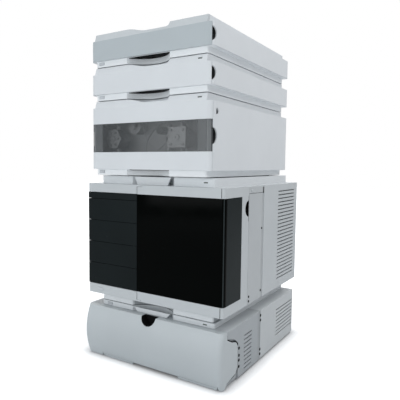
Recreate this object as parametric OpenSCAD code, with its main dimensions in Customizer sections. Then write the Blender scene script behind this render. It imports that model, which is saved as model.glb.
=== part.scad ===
// Liquid chromatography stack: two vacuum degassers, a pump, a sampler and a detector on one
// another. X runs to the right, Y to the back, Z up. The origin is under the middle of the stack.

/* [Narrow modules] */
// Width of the degassers and the pump
narrow_w = 345; // [335:1:365]
// Depth of the degassers and the pump
narrow_d = 435; // [420:1:455]
// Height of each degasser
thin_h = 80; // [76:1:95]
// Height of the pump
pump_h = 180; // [174:1:205]
// How far the narrow modules stand to the left of the wide ones
narrow_shift = 6; // [0:1:10]

/* [Wide modules] */
// Width of the sampler
sampler_w = 392; // [384:1:410]
// Depth of the sampler
sampler_d = 452; // [440:1:480]
// Height of the sampler
sampler_h = 320; // [310:1:345]
// How far the sampler's front stands behind the narrow modules' fronts
sampler_setback = 10; // [0:1:14]
// How far the sampler stands to the left of the detector
sampler_shift = 2; // [0:0.5:4]
// Width of the detector
detector_w = 396; // [388:1:420]
// Depth of the detector
detector_d = 436; // [425:1:455]
// Height of the detector
detector_h = 140; // [136:1:155]

/* [Housings] */
// Wall of every moulded housing, cover and tub
wall = 3; // [2.5:0.25:3.5]
// Radius of the upright corners of the housings
corner_r = 5; // [4:0.5:9]
// Joint between a cover and the housing behind it
seam = 0.5; // [0.4:0.1:1]
// Gap that the feet leave between stacked modules
stack_gap = 2; // [1.5:0.5:4]
// Height of the plinth under a narrow module
plinth_h = 16; // [14:0.5:19]
// Height of the raised top of a narrow module
crown_h = 16; // [14:0.5:18]
// How far a narrow plinth and raised top stand in from the sides
narrow_inset = 14.5; // [12:0.5:20]
// How far a narrow plinth and raised top stand back from the front
front_inset = 5; // [4:0.5:7]
// How far they stand in from the back
rear_inset = 4.5; // [4:0.5:10]
// Thickness of the flange that carries a housing on its tub
flange_t = 2; // [1.5:0.25:3]

/* [Tube bays] */
// Width of the bay for tubes in the plinths and raised tops
bay_w = 122; // [100:1:130]
// Depth of that bay
bay_d = 32; // [26:1:34]
// How far the bays' middle lies to the left of the stack's middle
bay_shift = 6; // [0:1:10]
// How far the bay dips into the raised top of a narrow module
bay_drop = 10; // [7:0.5:11]

/* [Snap covers] */
// How far a degasser's front cover reaches back along the sides
thin_return = 3.5; // [3.5:0.25:6]
// How far the pump's front cover reaches back along the sides
pump_return = 6.5; // [5:0.5:9]
// How far each cover's leaning strip reaches back over the raised top
crown_lip = 9; // [8:0.5:12]
// Radius of the covers' upright edges
cover_r = 14; // [11:0.5:16]
// Radius of the half-round grips of the degassers
thin_grip_r = 15.5; // [12:0.5:17]
// Radius of the half-round grips of the pump
pump_grip_r = 19; // [16:0.5:22]
// How far the middle of each grip lies ahead of the cover's rear edge
grip_lead = 5; // [2:0.5:6]
// Depth of the cups behind the grips
grip_depth = 10; // [8:0.5:12]
// Radius of the small half-round hole above the pump's grips
catch_r = 6.5; // [4:0.5:8]
// Bottom of the pump's window above the pump's base
window_z = 57; // [50:1:60]
// Height of the pump's window
window_h = 68; // [60:1:72]
// Thickness of the window
pane_t = 2.5; // [2:0.25:2.75]
// Width of the cover's posts behind the ends of the window
window_post = 36; // [20:1:45]

/* [Sampler] */
// Height of the plinth under the sampler
sampler_plinth_h = 20; // [18:0.5:24]
// Height of the sampler's raised top
sampler_crown_h = 20; // [18:0.5:24]
// How far the wide plinths and raised tops stand in from the sides
wide_inset = 33; // [28:0.5:38]
// How far the sampler's plinth and raised top stand back from its front
sampler_front_inset = 16; // [15:0.5:22]
// Height of the pale band under the dark panes
low_band = 24; // [20:0.5:28]
// Height of the pale band over the dark panes
high_band = 22; // [18:0.5:26]
// Width of the column of drawers
column_w = 157; // [150:1:165]
// Thickness of the door and of the drawer fronts
door_t = 10; // [9:0.5:12]
// Radius of the door's upright corner
door_r = 8; // [6:0.5:9]
// How far the door wraps back along the right side
door_wrap = 119; // [115:1:130]
// How far the dark pane wraps back along the right side
glass_wrap = 83; // [78:1:90]
// Thickness of the dark pane
glass_t = 3; // [2.5:0.25:3.5]
// Radius of the grip in the door's free edge
door_grip_r = 19; // [15:0.5:21]
// Height of the grip's middle above the sampler's base
door_grip_z = 249; // [235:1:255]
// Length of the upright slit beside that grip
door_slit_l = 60; // [44:1:70]
// Width of that slit
door_slit_w = 2; // [1.5:0.25:3]
// Width of the panel between the door and the vented housing
side_panel_w = 81; // [70:1:90]
// Length of the drawers' trays
drawer_l = 290; // [260:5:300]
// Height of the drawers' side walls
drawer_side_h = 34; // [28:1:38]
// Height of the dark strip over the top drawer
strip_h = 16; // [12:1:20]
// Width of the transport's carriage
carriage_w = 44; // [36:1:50]
// Diameter of the carriage's two guide rods
rod_d = 10; // [8:0.5:12]

/* [Detector] */
// Height of the detector's raised top
detector_crown_h = 11.5; // [10:0.5:13]
// How far the raised top stands back from the detector's front
detector_front_inset = 26; // [25:0.5:32]
// Height of the feet on the bench
foot_h = 6; // [5:0.5:8]
// Diameter of the feet on the bench
foot_d = 30; // [22:1:34]
// Radius of the upright edges of the detector's door
detector_door_r = 11; // [8:0.5:12]
// How far the door's middle bulges ahead of the narrow modules' fronts
door_bulge = 7; // [4:0.5:9]
// How far the door's top and bottom edges stand behind those fronts
door_edge = 7; // [5:0.5:8]
// How far the door's top edge reaches back
door_top_l = 24; // [21:0.5:25]
// How far the door's cheeks reach back along the sides
cheek_l = 76; // [74:1:84]
// Height of the door's hinge above the bench
hinge_z = 14.5; // [14:0.5:16]
// Distance of the door's hinge behind the front
hinge_y = 12; // [11:0.5:13]
// Radius of the half-round finger recess in the door
recess_r = 20.5; // [16:0.5:24]
// Radius of the door hinges' pins
pin_r = 1.5; // [1.25:0.25:1.75]
// Running clearance round the pins
pin_clear = 0.06; // [0.04:0.01:0.1]

/* [Vents] */
// Height of each vent slot
slot_h = 3; // [2:0.25:3.5]
// Distance from one vent slot to the next
slot_pitch = 9.8; // [8:0.2:11]
// Number of slots in each of the sampler's sides
sampler_slots = 25; // [20:1:25]
// Number of short slots behind the detector's door
front_slots = 9; // [5:1:9]
// Number of long slots at the back of the detector's sides
rear_slots = 8; // [4:1:9]
// Length of the long vent slots
slot_l = 122; // [100:1:124]
// Diameter of the fans' rotors
fan_d = 76; // [60:1:84]

/* [Buttons and lamps] */
// Width of a power button
button_w = 16; // [12:0.5:20]
// Height of a power button
button_h = 6; // [5:0.25:6.5]
// Gap round a button
button_clear = 0.3; // [0.2:0.05:0.5]
// Width of a status lamp
lamp_w = 10; // [8:0.5:14]
// Height of a status lamp
lamp_h = 2.6; // [2:0.1:3.5]

/* [Pump parts] */
// Diameter of the pump heads
head_d = 46; // [40:1:50]
// Length of the pump heads
head_l = 36; // [30:1:38]
// Distance between the two pump heads
head_pitch = 190; // [180:1:200]
// Radius of the plungers
plunger_r = 3; // [2.5:0.25:4]
// Stroke of the plungers
plunger_stroke = 8; // [5:0.5:10]
// Radius of the purge valve's knob
knob_r = 10; // [8:0.5:12]

/* [Hidden] */
$fn = 48;

// Colours
shell_white = [0.83, 0.85, 0.87];
shell_grey = [0.68, 0.71, 0.74];
glass_black = [0.03, 0.04, 0.05];
smoke = [0.3, 0.33, 0.35];
steel = [0.72, 0.73, 0.74];
dark = [0.1, 0.1, 0.11];
board_green = [0.1, 0.35, 0.2];
casting = [0.45, 0.47, 0.5];

// Where each module stands
eps = 0.01;
far = 1000;
tub_floor_z = stack_gap + wall;
front_y = (door_bulge - sampler_setback - sampler_d) / 2;
sampler_z = detector_h;
pump_z = sampler_z + sampler_h;
degasser_2_z = pump_z + pump_h;
degasser_1_z = degasser_2_z + thin_h;

// Tube bay: a circle through both ends and the deepest point
bay_r = (bay_w * bay_w / 4 + bay_d * bay_d) / (2 * bay_d);
bay_steps = 8;
bay_flat = bay_w * 0.42;
narrow_bay_x = narrow_shift - bay_shift;
wave_left = narrow_bay_x - bay_w / 2;
wave_right = narrow_bay_x + bay_w / 2;
wave = concat(
    [[wave_left, 1]],
    [for (i = [0:bay_steps])
        [wave_left + i / bay_steps * bay_w / 2, -bay_drop / 2 * (1 - cos(180 * i / bay_steps))]],
    [[narrow_bay_x + bay_flat, -bay_drop], [wave_right - 3, -bay_drop + 2], [wave_right, 1]]);

// Sampler levels, above its own base
pane_z = sampler_plinth_h + low_band;
main_top_z = sampler_h - sampler_crown_h;
pane_top_z = main_top_z - high_band;
sampler_half = sampler_w / 2;
column_x = -sampler_half + column_w;
sampler_bay_x = sampler_shift - bay_shift;
drawer_count = 4;
drawer_pitch = (pane_top_z - strip_h - pane_z) / drawer_count;
door_gap = 1;
door_axis_x = column_x + door_gap + 6;
door_axis_y = 3;
drawer_clear = 0.4;
rail_y = 230;
rail_z = main_top_z - 45;

// Detector levels, above the bench
detector_top_z = detector_h - detector_crown_h;
vent_groove_y = 200;

// Fans, at the back of the pump, the sampler and the detector
fan_frame = fan_d + 8;
fan_t = 25;
fan_boss_r = 16;
fan_shaft_r = 2.5;
fan_hub_r = 14;
blade_count = 7;

// Power inlets and buttons
inlet_w = 28;
narrow_inlet_x = 120;
sampler_inlet_x = -120;
detector_inlet_x = 110;
inlet_up = flange_t + 4;
// interface panels in the back walls: size, and [x, z] of the middle of each opening
panel_w = 124;
panel_h = 30;
panel_edge = 3;
panel_plate_t = 1.2;
socket_rise = 2.6;
thin_sockets = [-70, 41];
pump_sockets = [60, 100];
sampler_sockets = [-80, 110];
detector_sockets = [45, 80];
inlet_h = 24;
inlet_d = 30;
button_d = 9;
lamp_d = 16;
// how far the narrow modules' buttons and lamps stand in from the side, and the wide ones' lamps
side_in = 32.5;
sampler_lamp_in = 56;
detector_lamp_in = 58;
button_x = side_in - narrow_w / 2;
lamp_x = narrow_w / 2 - side_in;
sampler_lamp_x = sampler_w / 2 - sampler_lamp_in;
detector_lamp_x = detector_w / 2 - detector_lamp_in;
detector_button_x = -detector_lamp_x;
lamp_face_y = front_inset / 2 + 0.3;

module up(z) { translate([0, 0, z]) children(); }
module at_degasser_1() { translate([-narrow_shift, front_y, degasser_1_z]) children(); }
module at_degasser_2() { translate([-narrow_shift, front_y, degasser_2_z]) children(); }
module at_pump() { translate([-narrow_shift, front_y, pump_z]) children(); }
module at_sampler() { translate([-sampler_shift, front_y + sampler_setback, sampler_z]) children(); }
module at_detector() { translate([0, front_y, 0]) children(); }

// A box from its two corners
module block(a, b) { translate(a) cube([b[0] - a[0], b[1] - a[1], b[2] - a[2]]); }

// An upright slab with rounded corners
module slab(x0, x1, y0, y1, h, r) { mixed_slab(x0, x1, y0, y1, h, r, r); }

// The same with one radius for the front corners and another for the rear ones
module mixed_slab(x0, x1, y0, y1, h, front_r, rear_r) {
    mid = (y0 + y1) / 2;
    linear_extrude(h) {
        translate([x0, y0 + front_r]) square([x1 - x0, y1 - y0 - front_r - rear_r]);
        translate([x0 + front_r, y0]) square([x1 - x0 - 2 * front_r, mid - y0]);
        translate([x0 + rear_r, mid]) square([x1 - x0 - 2 * rear_r, y1 - mid]);
        for (x = [x0 + front_r, x1 - front_r]) translate([x, y0 + front_r]) circle(front_r);
        for (x = [x0 + rear_r, x1 - rear_r]) translate([x, y1 - rear_r]) circle(rear_r);
    }
}

// A bar along X with the given outline in Y and Z
module bar_x(x0, x1, outline) {
    translate([x0, 0, 0]) rotate([90, 0, 90]) linear_extrude(x1 - x0) polygon(outline);
}

// A bar along Y with the given outline in X and Z
module bar_y(y0, y1, outline) {
    translate([0, y1, 0]) rotate([90, 0, 0]) linear_extrude(y1 - y0) polygon(outline);
}

// A round bar along X or Y
module rod_x(x0, x1, y, z, r) { translate([x0, y, z]) rotate([0, 90, 0]) cylinder(h = x1 - x0, r = r); }
module rod_y(x, y0, y1, z, r) { translate([x, y0, z]) rotate([-90, 0, 0]) cylinder(h = y1 - y0, r = r); }

// The round back of a tube bay, for a plinth or raised top that starts at y0
module bay_column(x, y0, z0, h, grow) {
    translate([x, y0 + bay_d - bay_r, z0]) cylinder(h = h, r = bay_r + grow);
}

// A plinth as one block with its tube bay, drawn in by a margin
module plinth_block(bay_x, half_w, y0, y1, z0, z1, margin) {
    difference() {
        up(z0) slab(-half_w + margin, half_w - margin, y0 + margin, y1 - margin, z1 - z0,
            corner_r - margin / 2);
        bay_column(bay_x, y0, z0 - 1, z1 - z0 + 2, margin);
    }
}

// Pressed tub: plinth wall and floor, under the flange that the children give
module tub(bay_x, half_w, y0, y1, h) {
    difference() {
        union() {
            plinth_block(bay_x, half_w, y0, y1, stack_gap, h, 0);
            up(h - eps) children();
        }
        plinth_block(bay_x, half_w, y0, y1, stack_gap + wall, h + flange_t + 1, wall);
    }
}

// Cuts a tube bay into the raised top of a narrow module, behind the cover's strip
module narrow_bay_cut(h) {
    intersection() {
        up(h) bar_y(crown_lip, bay_d + front_inset + 1, wave);
        bay_column(narrow_bay_x, front_inset, h - bay_drop - 1, bay_drop + 3, 0);
    }
}

// A rectangular hole for a power button or a lamp, through a wall near y
module front_hole(x, z, w, h, y0, y1) { block([x - w / 2, y0, z - h / 2], [x + w / 2, y1, z + h / 2]); }

// Rounded push button with a collar behind the wall
module push_button(x, z, y) {
    color(shell_grey) {
        block([x - button_w / 2, y - 1, z - button_h / 2],
            [x + button_w / 2, y + button_d, z + button_h / 2]);
        block([x - button_w / 2 - 1.5, y + wall + seam, z - button_h / 2],
              [x + button_w / 2 + 1.5, y + wall + seam + 1.5, z + button_h / 2]);
    }
}

// A column of level slots through a side wall
module slots(x0, x1, y0, y1, z_top, count) {
    for (i = [0:count - 1])
        block([x0, y0, z_top - i * slot_pitch - slot_h], [x1, y1, z_top - i * slot_pitch]);
}

// Round opening with bars for a fan, cut through a back wall
module fan_grille_cut(x, z, y0, y1) {
    for (i = [-3:3]) {
        half = sqrt(pow(fan_d / 2 - 2, 2) - pow(i * slot_pitch, 2));
        block([x - half, y0, z + i * slot_pitch - slot_h / 2],
            [x + half, y1, z + i * slot_pitch + slot_h / 2]);
    }
}

// Opening in a back wall for the interface panel
module socket_opening(middle, y_back) {
    front_hole(middle[0], middle[1], panel_w, panel_h, y_back - wall - 1, y_back + 1);
}

// ---- Narrow modules ----

plinth_half = narrow_w / 2 - narrow_inset;
cup_t = 1.5;
tongue_t = 2;
tongue_h = 14;
tongue_l = 22;
tongue_x = narrow_w / 2 - wall - grip_depth - tongue_t;
function grip_middle(h) = (plinth_h + h - crown_h) / 2;
button_z = stack_gap + (plinth_h - stack_gap) / 2 + 1;

// Painted tub under a degasser or the pump
module narrow_base(ret) {
    color(shell_white) difference() {
        tub(narrow_bay_x, plinth_half, front_inset, narrow_d - rear_inset, plinth_h)
            intersection() {
                narrow_room(flange_t);
                block([-far, ret + seam, 0], [far, far, flange_t]);
            }
        front_hole(button_x, button_z, button_w + 2 * button_clear, button_h + 2 * button_clear,
                   front_inset - 1, front_inset + wall + 1);
    }
}

// Plan of a narrow module with its walls, and of the room inside them
module narrow_outline(h) {
    mixed_slab(-narrow_w / 2, narrow_w / 2, 0, narrow_d, h, cover_r, corner_r);
}
module narrow_room(h) {
    mixed_slab(-narrow_w / 2 + wall, narrow_w / 2 - wall, wall, narrow_d - wall, h, cover_r - wall,
        corner_r - wall / 2);
}

// Moulded housing of a narrow module: sides, back and raised top
module narrow_cabinet(h, ret, grip_r, sockets, lamp) {
    top = h - crown_h;
    crown_in = plinth_half - wall;
    crown_y0 = crown_lip + seam + wall;
    crown_y1 = narrow_d - rear_inset - wall;
    bay_back = front_inset + bay_d + wall;
    bay_side = bay_w / 2 + 2 * wall;
    color(shell_white) difference() {
        union() {
            up(plinth_h) narrow_outline(top - plinth_h);
            up(top - eps) slab(-plinth_half, plinth_half, 0, narrow_d - rear_inset, crown_h + eps, corner_r);
        }
        // the front is left open for the cover
        block([-far, -1, 0], [far, ret + seam, h + 1]);
        block([-plinth_half - seam, -1, top - wall - seam], [plinth_half + seam, crown_lip + seam, h + 1]);
        // room inside, and the hollow of the raised top round the bay
        up(plinth_h - 1) narrow_room(top - wall - plinth_h + 1);
        block([-crown_in, bay_back, top - wall - 1], [crown_in, crown_y1, h - wall]);
        for (s = [-1, 1])
            block([s > 0 ? narrow_bay_x + bay_side : -crown_in, crown_y0, top - wall - 1],
                  [s > 0 ? crown_in : narrow_bay_x - bay_side, bay_back + 1, h - wall]);
        narrow_bay_cut(h);
        // half-round grips
        rod_x(-far, far, ret + seam - grip_lead, grip_middle(h), grip_r);
        front_hole(narrow_inlet_x, plinth_h + inlet_up + inlet_h / 2, inlet_w, inlet_h,
            narrow_d - wall - 1, narrow_d + 1);
        socket_opening(sockets, narrow_d);
        if (lamp) front_hole(lamp_x, h - crown_h / 2, lamp_w, lamp_h, crown_lip, crown_lip + lamp_d);
    }
}

// Front slab of a cover with rounded upright edges
module cover_slab(z0, z1, margin, y1) {
    intersection() {
        up(z0) slab(-narrow_w / 2 + margin, narrow_w / 2 - margin, margin, 4 * cover_r, z1 - z0,
            cover_r - margin);
        block([-far, 0, z0], [far, y1, z1]);
    }
}

// Snap-on front cover: face with returns, a strip that leans back over the raised top, and
// a tongue on each side that snaps in behind the grip
module narrow_front_cover(h, ret, lamp) {
    top = h - crown_h;
    mid = grip_middle(h);
    difference() {
        union() {
            cover_slab(plinth_h, top, 0, ret);
            bar_x(-plinth_half, plinth_half,
                  [[0, top - wall], [0, top], [front_inset, h], [crown_lip, h], [crown_lip, top - wall]]);
            for (s = [-1, 1])
                block([s * tongue_x - tongue_t / 2, wall - 1, mid - tongue_h / 2],
                      [s * tongue_x + tongue_t / 2, tongue_l, mid + tongue_h / 2]);
        }
        difference() {
            cover_slab(plinth_h + wall, top - wall, wall, ret + 1);
            for (s = [-1, 1])
                block([s * tongue_x - tongue_t / 2, 0, mid - tongue_h / 2],
                      [s * tongue_x + tongue_t / 2, ret + 1, mid + tongue_h / 2]);
        }
        up(h) bar_y(-1, crown_lip + 1, wave);
        if (lamp)
            front_hole(lamp_x, h - crown_h / 2, lamp_w + 2 * button_clear, lamp_h + 2 * button_clear,
                -1, crown_lip + 1);
    }
}

// Half-round cup that closes a grip behind the side wall
module grip_cup(side, ret, h, grip_r) {
    x_out = side * (narrow_w / 2 - wall);
    x_in = x_out - side * grip_depth;
    y = ret + seam - grip_lead;
    intersection() {
        difference() {
            rod_x(min(x_in, x_out), max(x_in, x_out), y, grip_middle(h), grip_r + cup_t);
            rod_x(min(x_in + side * cup_t, x_out + side), max(x_in + side * cup_t, x_out + side), y,
                grip_middle(h), grip_r);
        }
        block([-far, ret + seam, 0], [far, far, h]);
        narrow_room(h);
    }
}

// Four vacuum chambers side by side, with their tube ports at the front
module chambers(h) {
    chamber_w = 42;
    chamber_x0 = plinth_half - wall - 4 * (chamber_w + 1) - 2;
    chamber_l = 190;
    chamber_y = 70;
    chamber_h = min(26, h - crown_h - plinth_h - 20);
    color([0.85, 0.86, 0.84]) for (i = [0:3]) {
        x = chamber_x0 + i * (chamber_w + 1);
        block([x, chamber_y, tub_floor_z], [x + chamber_w, chamber_y + chamber_l, tub_floor_z + chamber_h]);
        for (dx = [chamber_w / 4, chamber_w * 3 / 4])
            rod_y(x + dx, chamber_y - 14, chamber_y + 1, tub_floor_z + chamber_h / 2, 4);
    }
}

// Membrane vacuum pump: motor, head and its two hose ends
module vacuum_pump() {
    motor_r = 17;
    motor_l = 70;
    membrane_l = 28;
    membrane_y = 92;
    x = 68 - plinth_half;
    z = tub_floor_z + motor_r;
    color(dark) {
        rod_y(x, membrane_y + membrane_l, membrane_y + membrane_l + motor_l, z, motor_r);
        block([x - motor_r - 3, membrane_y, tub_floor_z],
            [x + motor_r + 3, membrane_y + membrane_l + 1, z + motor_r + 4]);
        for (dx = [-9, 9]) rod_y(x + dx, membrane_y - 12, membrane_y + 1, z, 3);
    }
}

module degasser_1_base() { at_degasser_1() narrow_base(thin_return); }
module degasser_2_base() { at_degasser_2() narrow_base(thin_return); }
module degasser_1_cabinet() {
    at_degasser_1() narrow_cabinet(thin_h, thin_return, thin_grip_r, thin_sockets, false);
}
module degasser_2_cabinet() {
    at_degasser_2() narrow_cabinet(thin_h, thin_return, thin_grip_r, thin_sockets, true);
}
module degasser_1_front_cover() {
    color(shell_grey) at_degasser_1() narrow_front_cover(thin_h, thin_return, false);
}
module degasser_2_front_cover() {
    color(shell_white) at_degasser_2() narrow_front_cover(thin_h, thin_return, true);
}
module degasser_1_chambers() { at_degasser_1() chambers(thin_h); }
module degasser_2_chambers() { at_degasser_2() chambers(thin_h); }
module degasser_1_vacuum_pump() { at_degasser_1() vacuum_pump(); }
module degasser_2_vacuum_pump() { at_degasser_2() vacuum_pump(); }
module degasser_1_power_button() { at_degasser_1() push_button(button_x, button_z, front_inset); }
module degasser_2_power_button() { at_degasser_2() push_button(button_x, button_z, front_inset); }

// ---- Pump ----

panel_y = 60;
panel_t = 2;
head_z = 90;
head_in = 40;
head_x0 = head_in - plinth_half;
head_x1 = head_x0 + head_pitch;
drive_y0 = panel_y + panel_t;
drive_l = 150;
spindle_half = 30;
drive_foot = 2;
knob_x = head_x1 - 53;
knob_z = 108;
catch_y = pump_return + seam + 10;
catch_z = grip_middle(pump_h) + 52;
pump_fan_x = -80;
pump_fan_z = 96;

module pump_base() { at_pump() narrow_base(pump_return); }

module pump_cabinet() {
    difference() {
        at_pump() narrow_cabinet(pump_h, pump_return, pump_grip_r, pump_sockets, true);
        at_pump() {
            // small half-round catch hole above each grip, and the fan's grille at the back
            intersection() {
                rod_x(-far, far, catch_y + catch_r / 2, catch_z, catch_r);
                block([-far, catch_y, 0], [far, far, pump_h]);
            }
            fan_grille_cut(pump_fan_x, pump_fan_z, narrow_d - wall - 1, narrow_d + 1);
        }
    }
}

module pump_front_cover() {
    half_open = narrow_w / 2 - window_post;
    window_top = window_z + window_h;
    color(shell_white) at_pump() difference() {
        union() {
            narrow_front_cover(pump_h, pump_return, true);
            // posts behind the ends of the window
            difference() {
                cover_slab(window_z - 1, window_top + 1, pane_t, pump_return);
                cover_slab(window_z - 2, window_top + 2, pane_t + wall, pump_return + 1);
            }
        }
        // seat of the window, and the opening between the posts
        difference() {
            block([-far, -1, window_z], [far, pump_return + 1, window_top]);
            cover_slab(window_z - 1, window_top + 1, pane_t, pump_return + 2);
            block([-narrow_w / 2 + cover_r, pane_t, 0], [narrow_w / 2 - cover_r, far, pump_h]);
        }
        block([-half_open, -1, window_z], [half_open, pump_return + 1, window_top]);
    }
}

// Smoked window that wraps round both upright edges of the cover
module pump_window() {
    color(smoke) at_pump() difference() {
        cover_slab(window_z, window_z + window_h, 0, pump_return);
        cover_slab(window_z - 1, window_z + window_h + 1, pane_t, pump_return + 1);
    }
}

// Sheet-metal front panel with the leak tray at its foot
module pump_chassis() {
    half = narrow_w / 2 - wall - grip_depth - 6;
    top = pump_h - crown_h - wall;
    tray_y = wall + tongue_l;
    color(steel) at_pump() difference() {
        union() {
            block([-half, panel_y, plinth_h + flange_t], [half, panel_y + panel_t, top]);
            block([-half, tray_y, plinth_h + flange_t], [half, panel_y + 1, plinth_h + flange_t + 2]);
            block([-half, tray_y, plinth_h + flange_t], [half, tray_y + 2, plinth_h + flange_t + 14]);
        }
        for (x = [head_x0, head_x1]) rod_y(x, panel_y - 1, panel_y + panel_t + 1, head_z, plunger_r + 2);
    }
}

// Drive: two spindle housings on one casting, with the motors at the back
module pump_drive() {
    color(casting) at_pump() {
        difference() {
            union() {
                block([head_x0 - spindle_half - drive_foot, drive_y0, tub_floor_z],
                    [head_x1 + spindle_half + drive_foot, drive_y0 + drive_l, tub_floor_z + 12]);
                for (x = [head_x0, head_x1])
                    block([x - spindle_half, drive_y0, tub_floor_z],
                        [x + spindle_half, drive_y0 + drive_l, head_z + spindle_half + 2]);
            }
            for (x = [head_x0, head_x1]) rod_y(x, drive_y0 - 1, drive_y0 + 100, head_z, plunger_r + 6);
        }
        for (x = [head_x0, head_x1]) rod_y(x, drive_y0 + drive_l - 1, drive_y0 + drive_l + 55, head_z, 26);
    }
}

// Head with the plunger's bore, the inlet valve below and the outlet fitting above
module pump_head(x, sides) {
    color(steel) at_pump() difference() {
        union() {
            rod_y(x, panel_y - head_l, panel_y, head_z, head_d / 2);
            if (sides == 4) block([x - head_d / 2, panel_y - head_l - 6, head_z - head_d / 2],
                                  [x + head_d / 2, panel_y - head_l + 8, head_z + head_d / 2]);
            else translate([x, panel_y - head_l + 8, head_z]) rotate([90, 0, 0])
                cylinder(h = 12, r = head_d / 2 + 3, $fn = sides);
            for (s = [-1, 1]) translate([x, panel_y - head_l / 2, head_z]) rotate([s > 0 ? 0 : 180, 0, 0])
                cylinder(h = head_d / 2 + 11, r = 7);
        }
        rod_y(x, panel_y - head_l / 2, panel_y + 1, head_z, plunger_r + pin_clear);
    }
}
module pump_head_left() { pump_head(head_x0, 6); }
module pump_head_right() { pump_head(head_x1, 4); }

// Sapphire plunger on its crosshead, which slides in the drive's bore
module plunger(x, forward) {
    rest = forward ? plunger_stroke : 0;
    color(steel) at_pump() {
        rod_y(x, panel_y - head_l / 2 + 14 - rest, drive_y0 + 31 - rest, head_z, plunger_r);
        rod_y(x, drive_y0 + 30 - rest, drive_y0 + 80 - rest, head_z, plunger_r + 6 - pin_clear);
    }
}
module plunger_left() { plunger(head_x0, false); }
module plunger_right() { plunger(head_x1, true); }

// Fluted knob of the purge valve, with its stem in the panel's boss
module purge_knob() {
    flute_r = 1.2;
    color(dark) at_pump() difference() {
        union() {
            rod_y(knob_x, panel_y - 34, panel_y - 16, knob_z, knob_r);
            rod_y(knob_x, panel_y - 17, panel_y - 0.3, knob_z, 5);
        }
        for (a = [0:30:330])
            rod_y(knob_x + knob_r * cos(a), panel_y - 35, panel_y - 20, knob_z + knob_r * sin(a), flute_r);
    }
}

// Round pulse damper on the panel
module pump_damper() {
    damper_dx = 56;
    color(steel) at_pump() {
        rod_y(head_x0 + damper_dx, panel_y - 26, panel_y, 120, 19);
        rod_y(head_x0 + damper_dx, panel_y - 32, panel_y - 25, 120, 8);
    }
}

// Upright mixer with a fitting at each end, held by a clip on the panel
module pump_mixer() {
    x = head_x1 - 36;
    y = panel_y - 18;
    color([0.8, 0.8, 0.8]) at_pump() {
        translate([x, y, 46]) cylinder(h = 34, r = 9);
        translate([x, y, 38]) cylinder(h = 50, r = 4.5);
        block([x - 5, y, 56], [x + 5, panel_y, 66]);
    }
}
module pump_power_button() { at_pump() push_button(button_x, button_z, front_inset); }

// ---- Sampler ----

sampler_plinth = sampler_half - wide_inset;
ear_t = 4;
ear_r = 6;
pin_l = 20;
sampler_rear = sampler_d - rear_inset;
divider_t = 2;
divider_x = column_x - divider_t;
panel_y0 = door_wrap + seam;
panel_y1 = panel_y0 + side_panel_w;
sampler_button_x = -sampler_half + 40;
sampler_button_z = sampler_plinth_h + low_band / 2;
fascia_y = door_t;
sampler_fan_x = 60;
sampler_fan_z = 110;

module sampler_base() {
    color(shell_grey) at_sampler() {
        tub(sampler_bay_x, sampler_plinth, sampler_front_inset, sampler_rear, sampler_plinth_h)
            difference() {
                block([-sampler_half + wall, door_t + 4, 0],
                    [sampler_half - wall, sampler_d - wall, flange_t]);
                // clear of the door's side leg
                block([sampler_half - door_t - 2 * seam, 0, -1], [far, panel_y0, flange_t + 1]);
            }
    }
}

// Ear on the fixed band that holds one of the door's upright pins, and the notch round it
module hinge_ear(z) {
    difference() {
        union() {
            intersection() {
                translate([door_axis_x, door_axis_y, z]) cylinder(h = ear_t, r = ear_r);
                block([door_axis_x - ear_r, 0, z], [far, far, z + ear_t]);
            }
            block([column_x - 2 * seam, 0, z], [door_axis_x, door_axis_y + ear_r, z + ear_t]);
        }
        translate([door_axis_x, door_axis_y, z - 1]) cylinder(h = ear_t + 2, r = pin_r);
    }
}

// Lip that stands in the mouth of a wide module's tube bay, with slanted ends
module bay_lip(bay_x, y0, z0, h) {
    left = bay_x - bay_w / 2;
    right = bay_x + bay_w / 2;
    bar_y(y0, y0 + wall, [[left + 15, z0], [right - 19, z0], [right - 10, z0 + h], [left + 6, z0 + h]]);
}

// Raised top of a wide module, hollow, with its bay
module wide_crown(bay_x, half_w, y0, y1, z0, h) {
    difference() {
        up(z0 - eps) slab(-half_w, half_w, y0, y1, h + eps, corner_r);
        bay_column(bay_x, y0, z0, h + 1, 0);
        difference() {
            block([-half_w + wall, y0 + wall, z0 - wall], [half_w - wall, y1 - wall, z0 + h - wall]);
            bay_column(bay_x, y0, z0 - wall - 1, h + wall + 2, wall);
        }
    }
    bay_lip(bay_x, y0, z0 - eps, h - 1);
}

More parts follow.
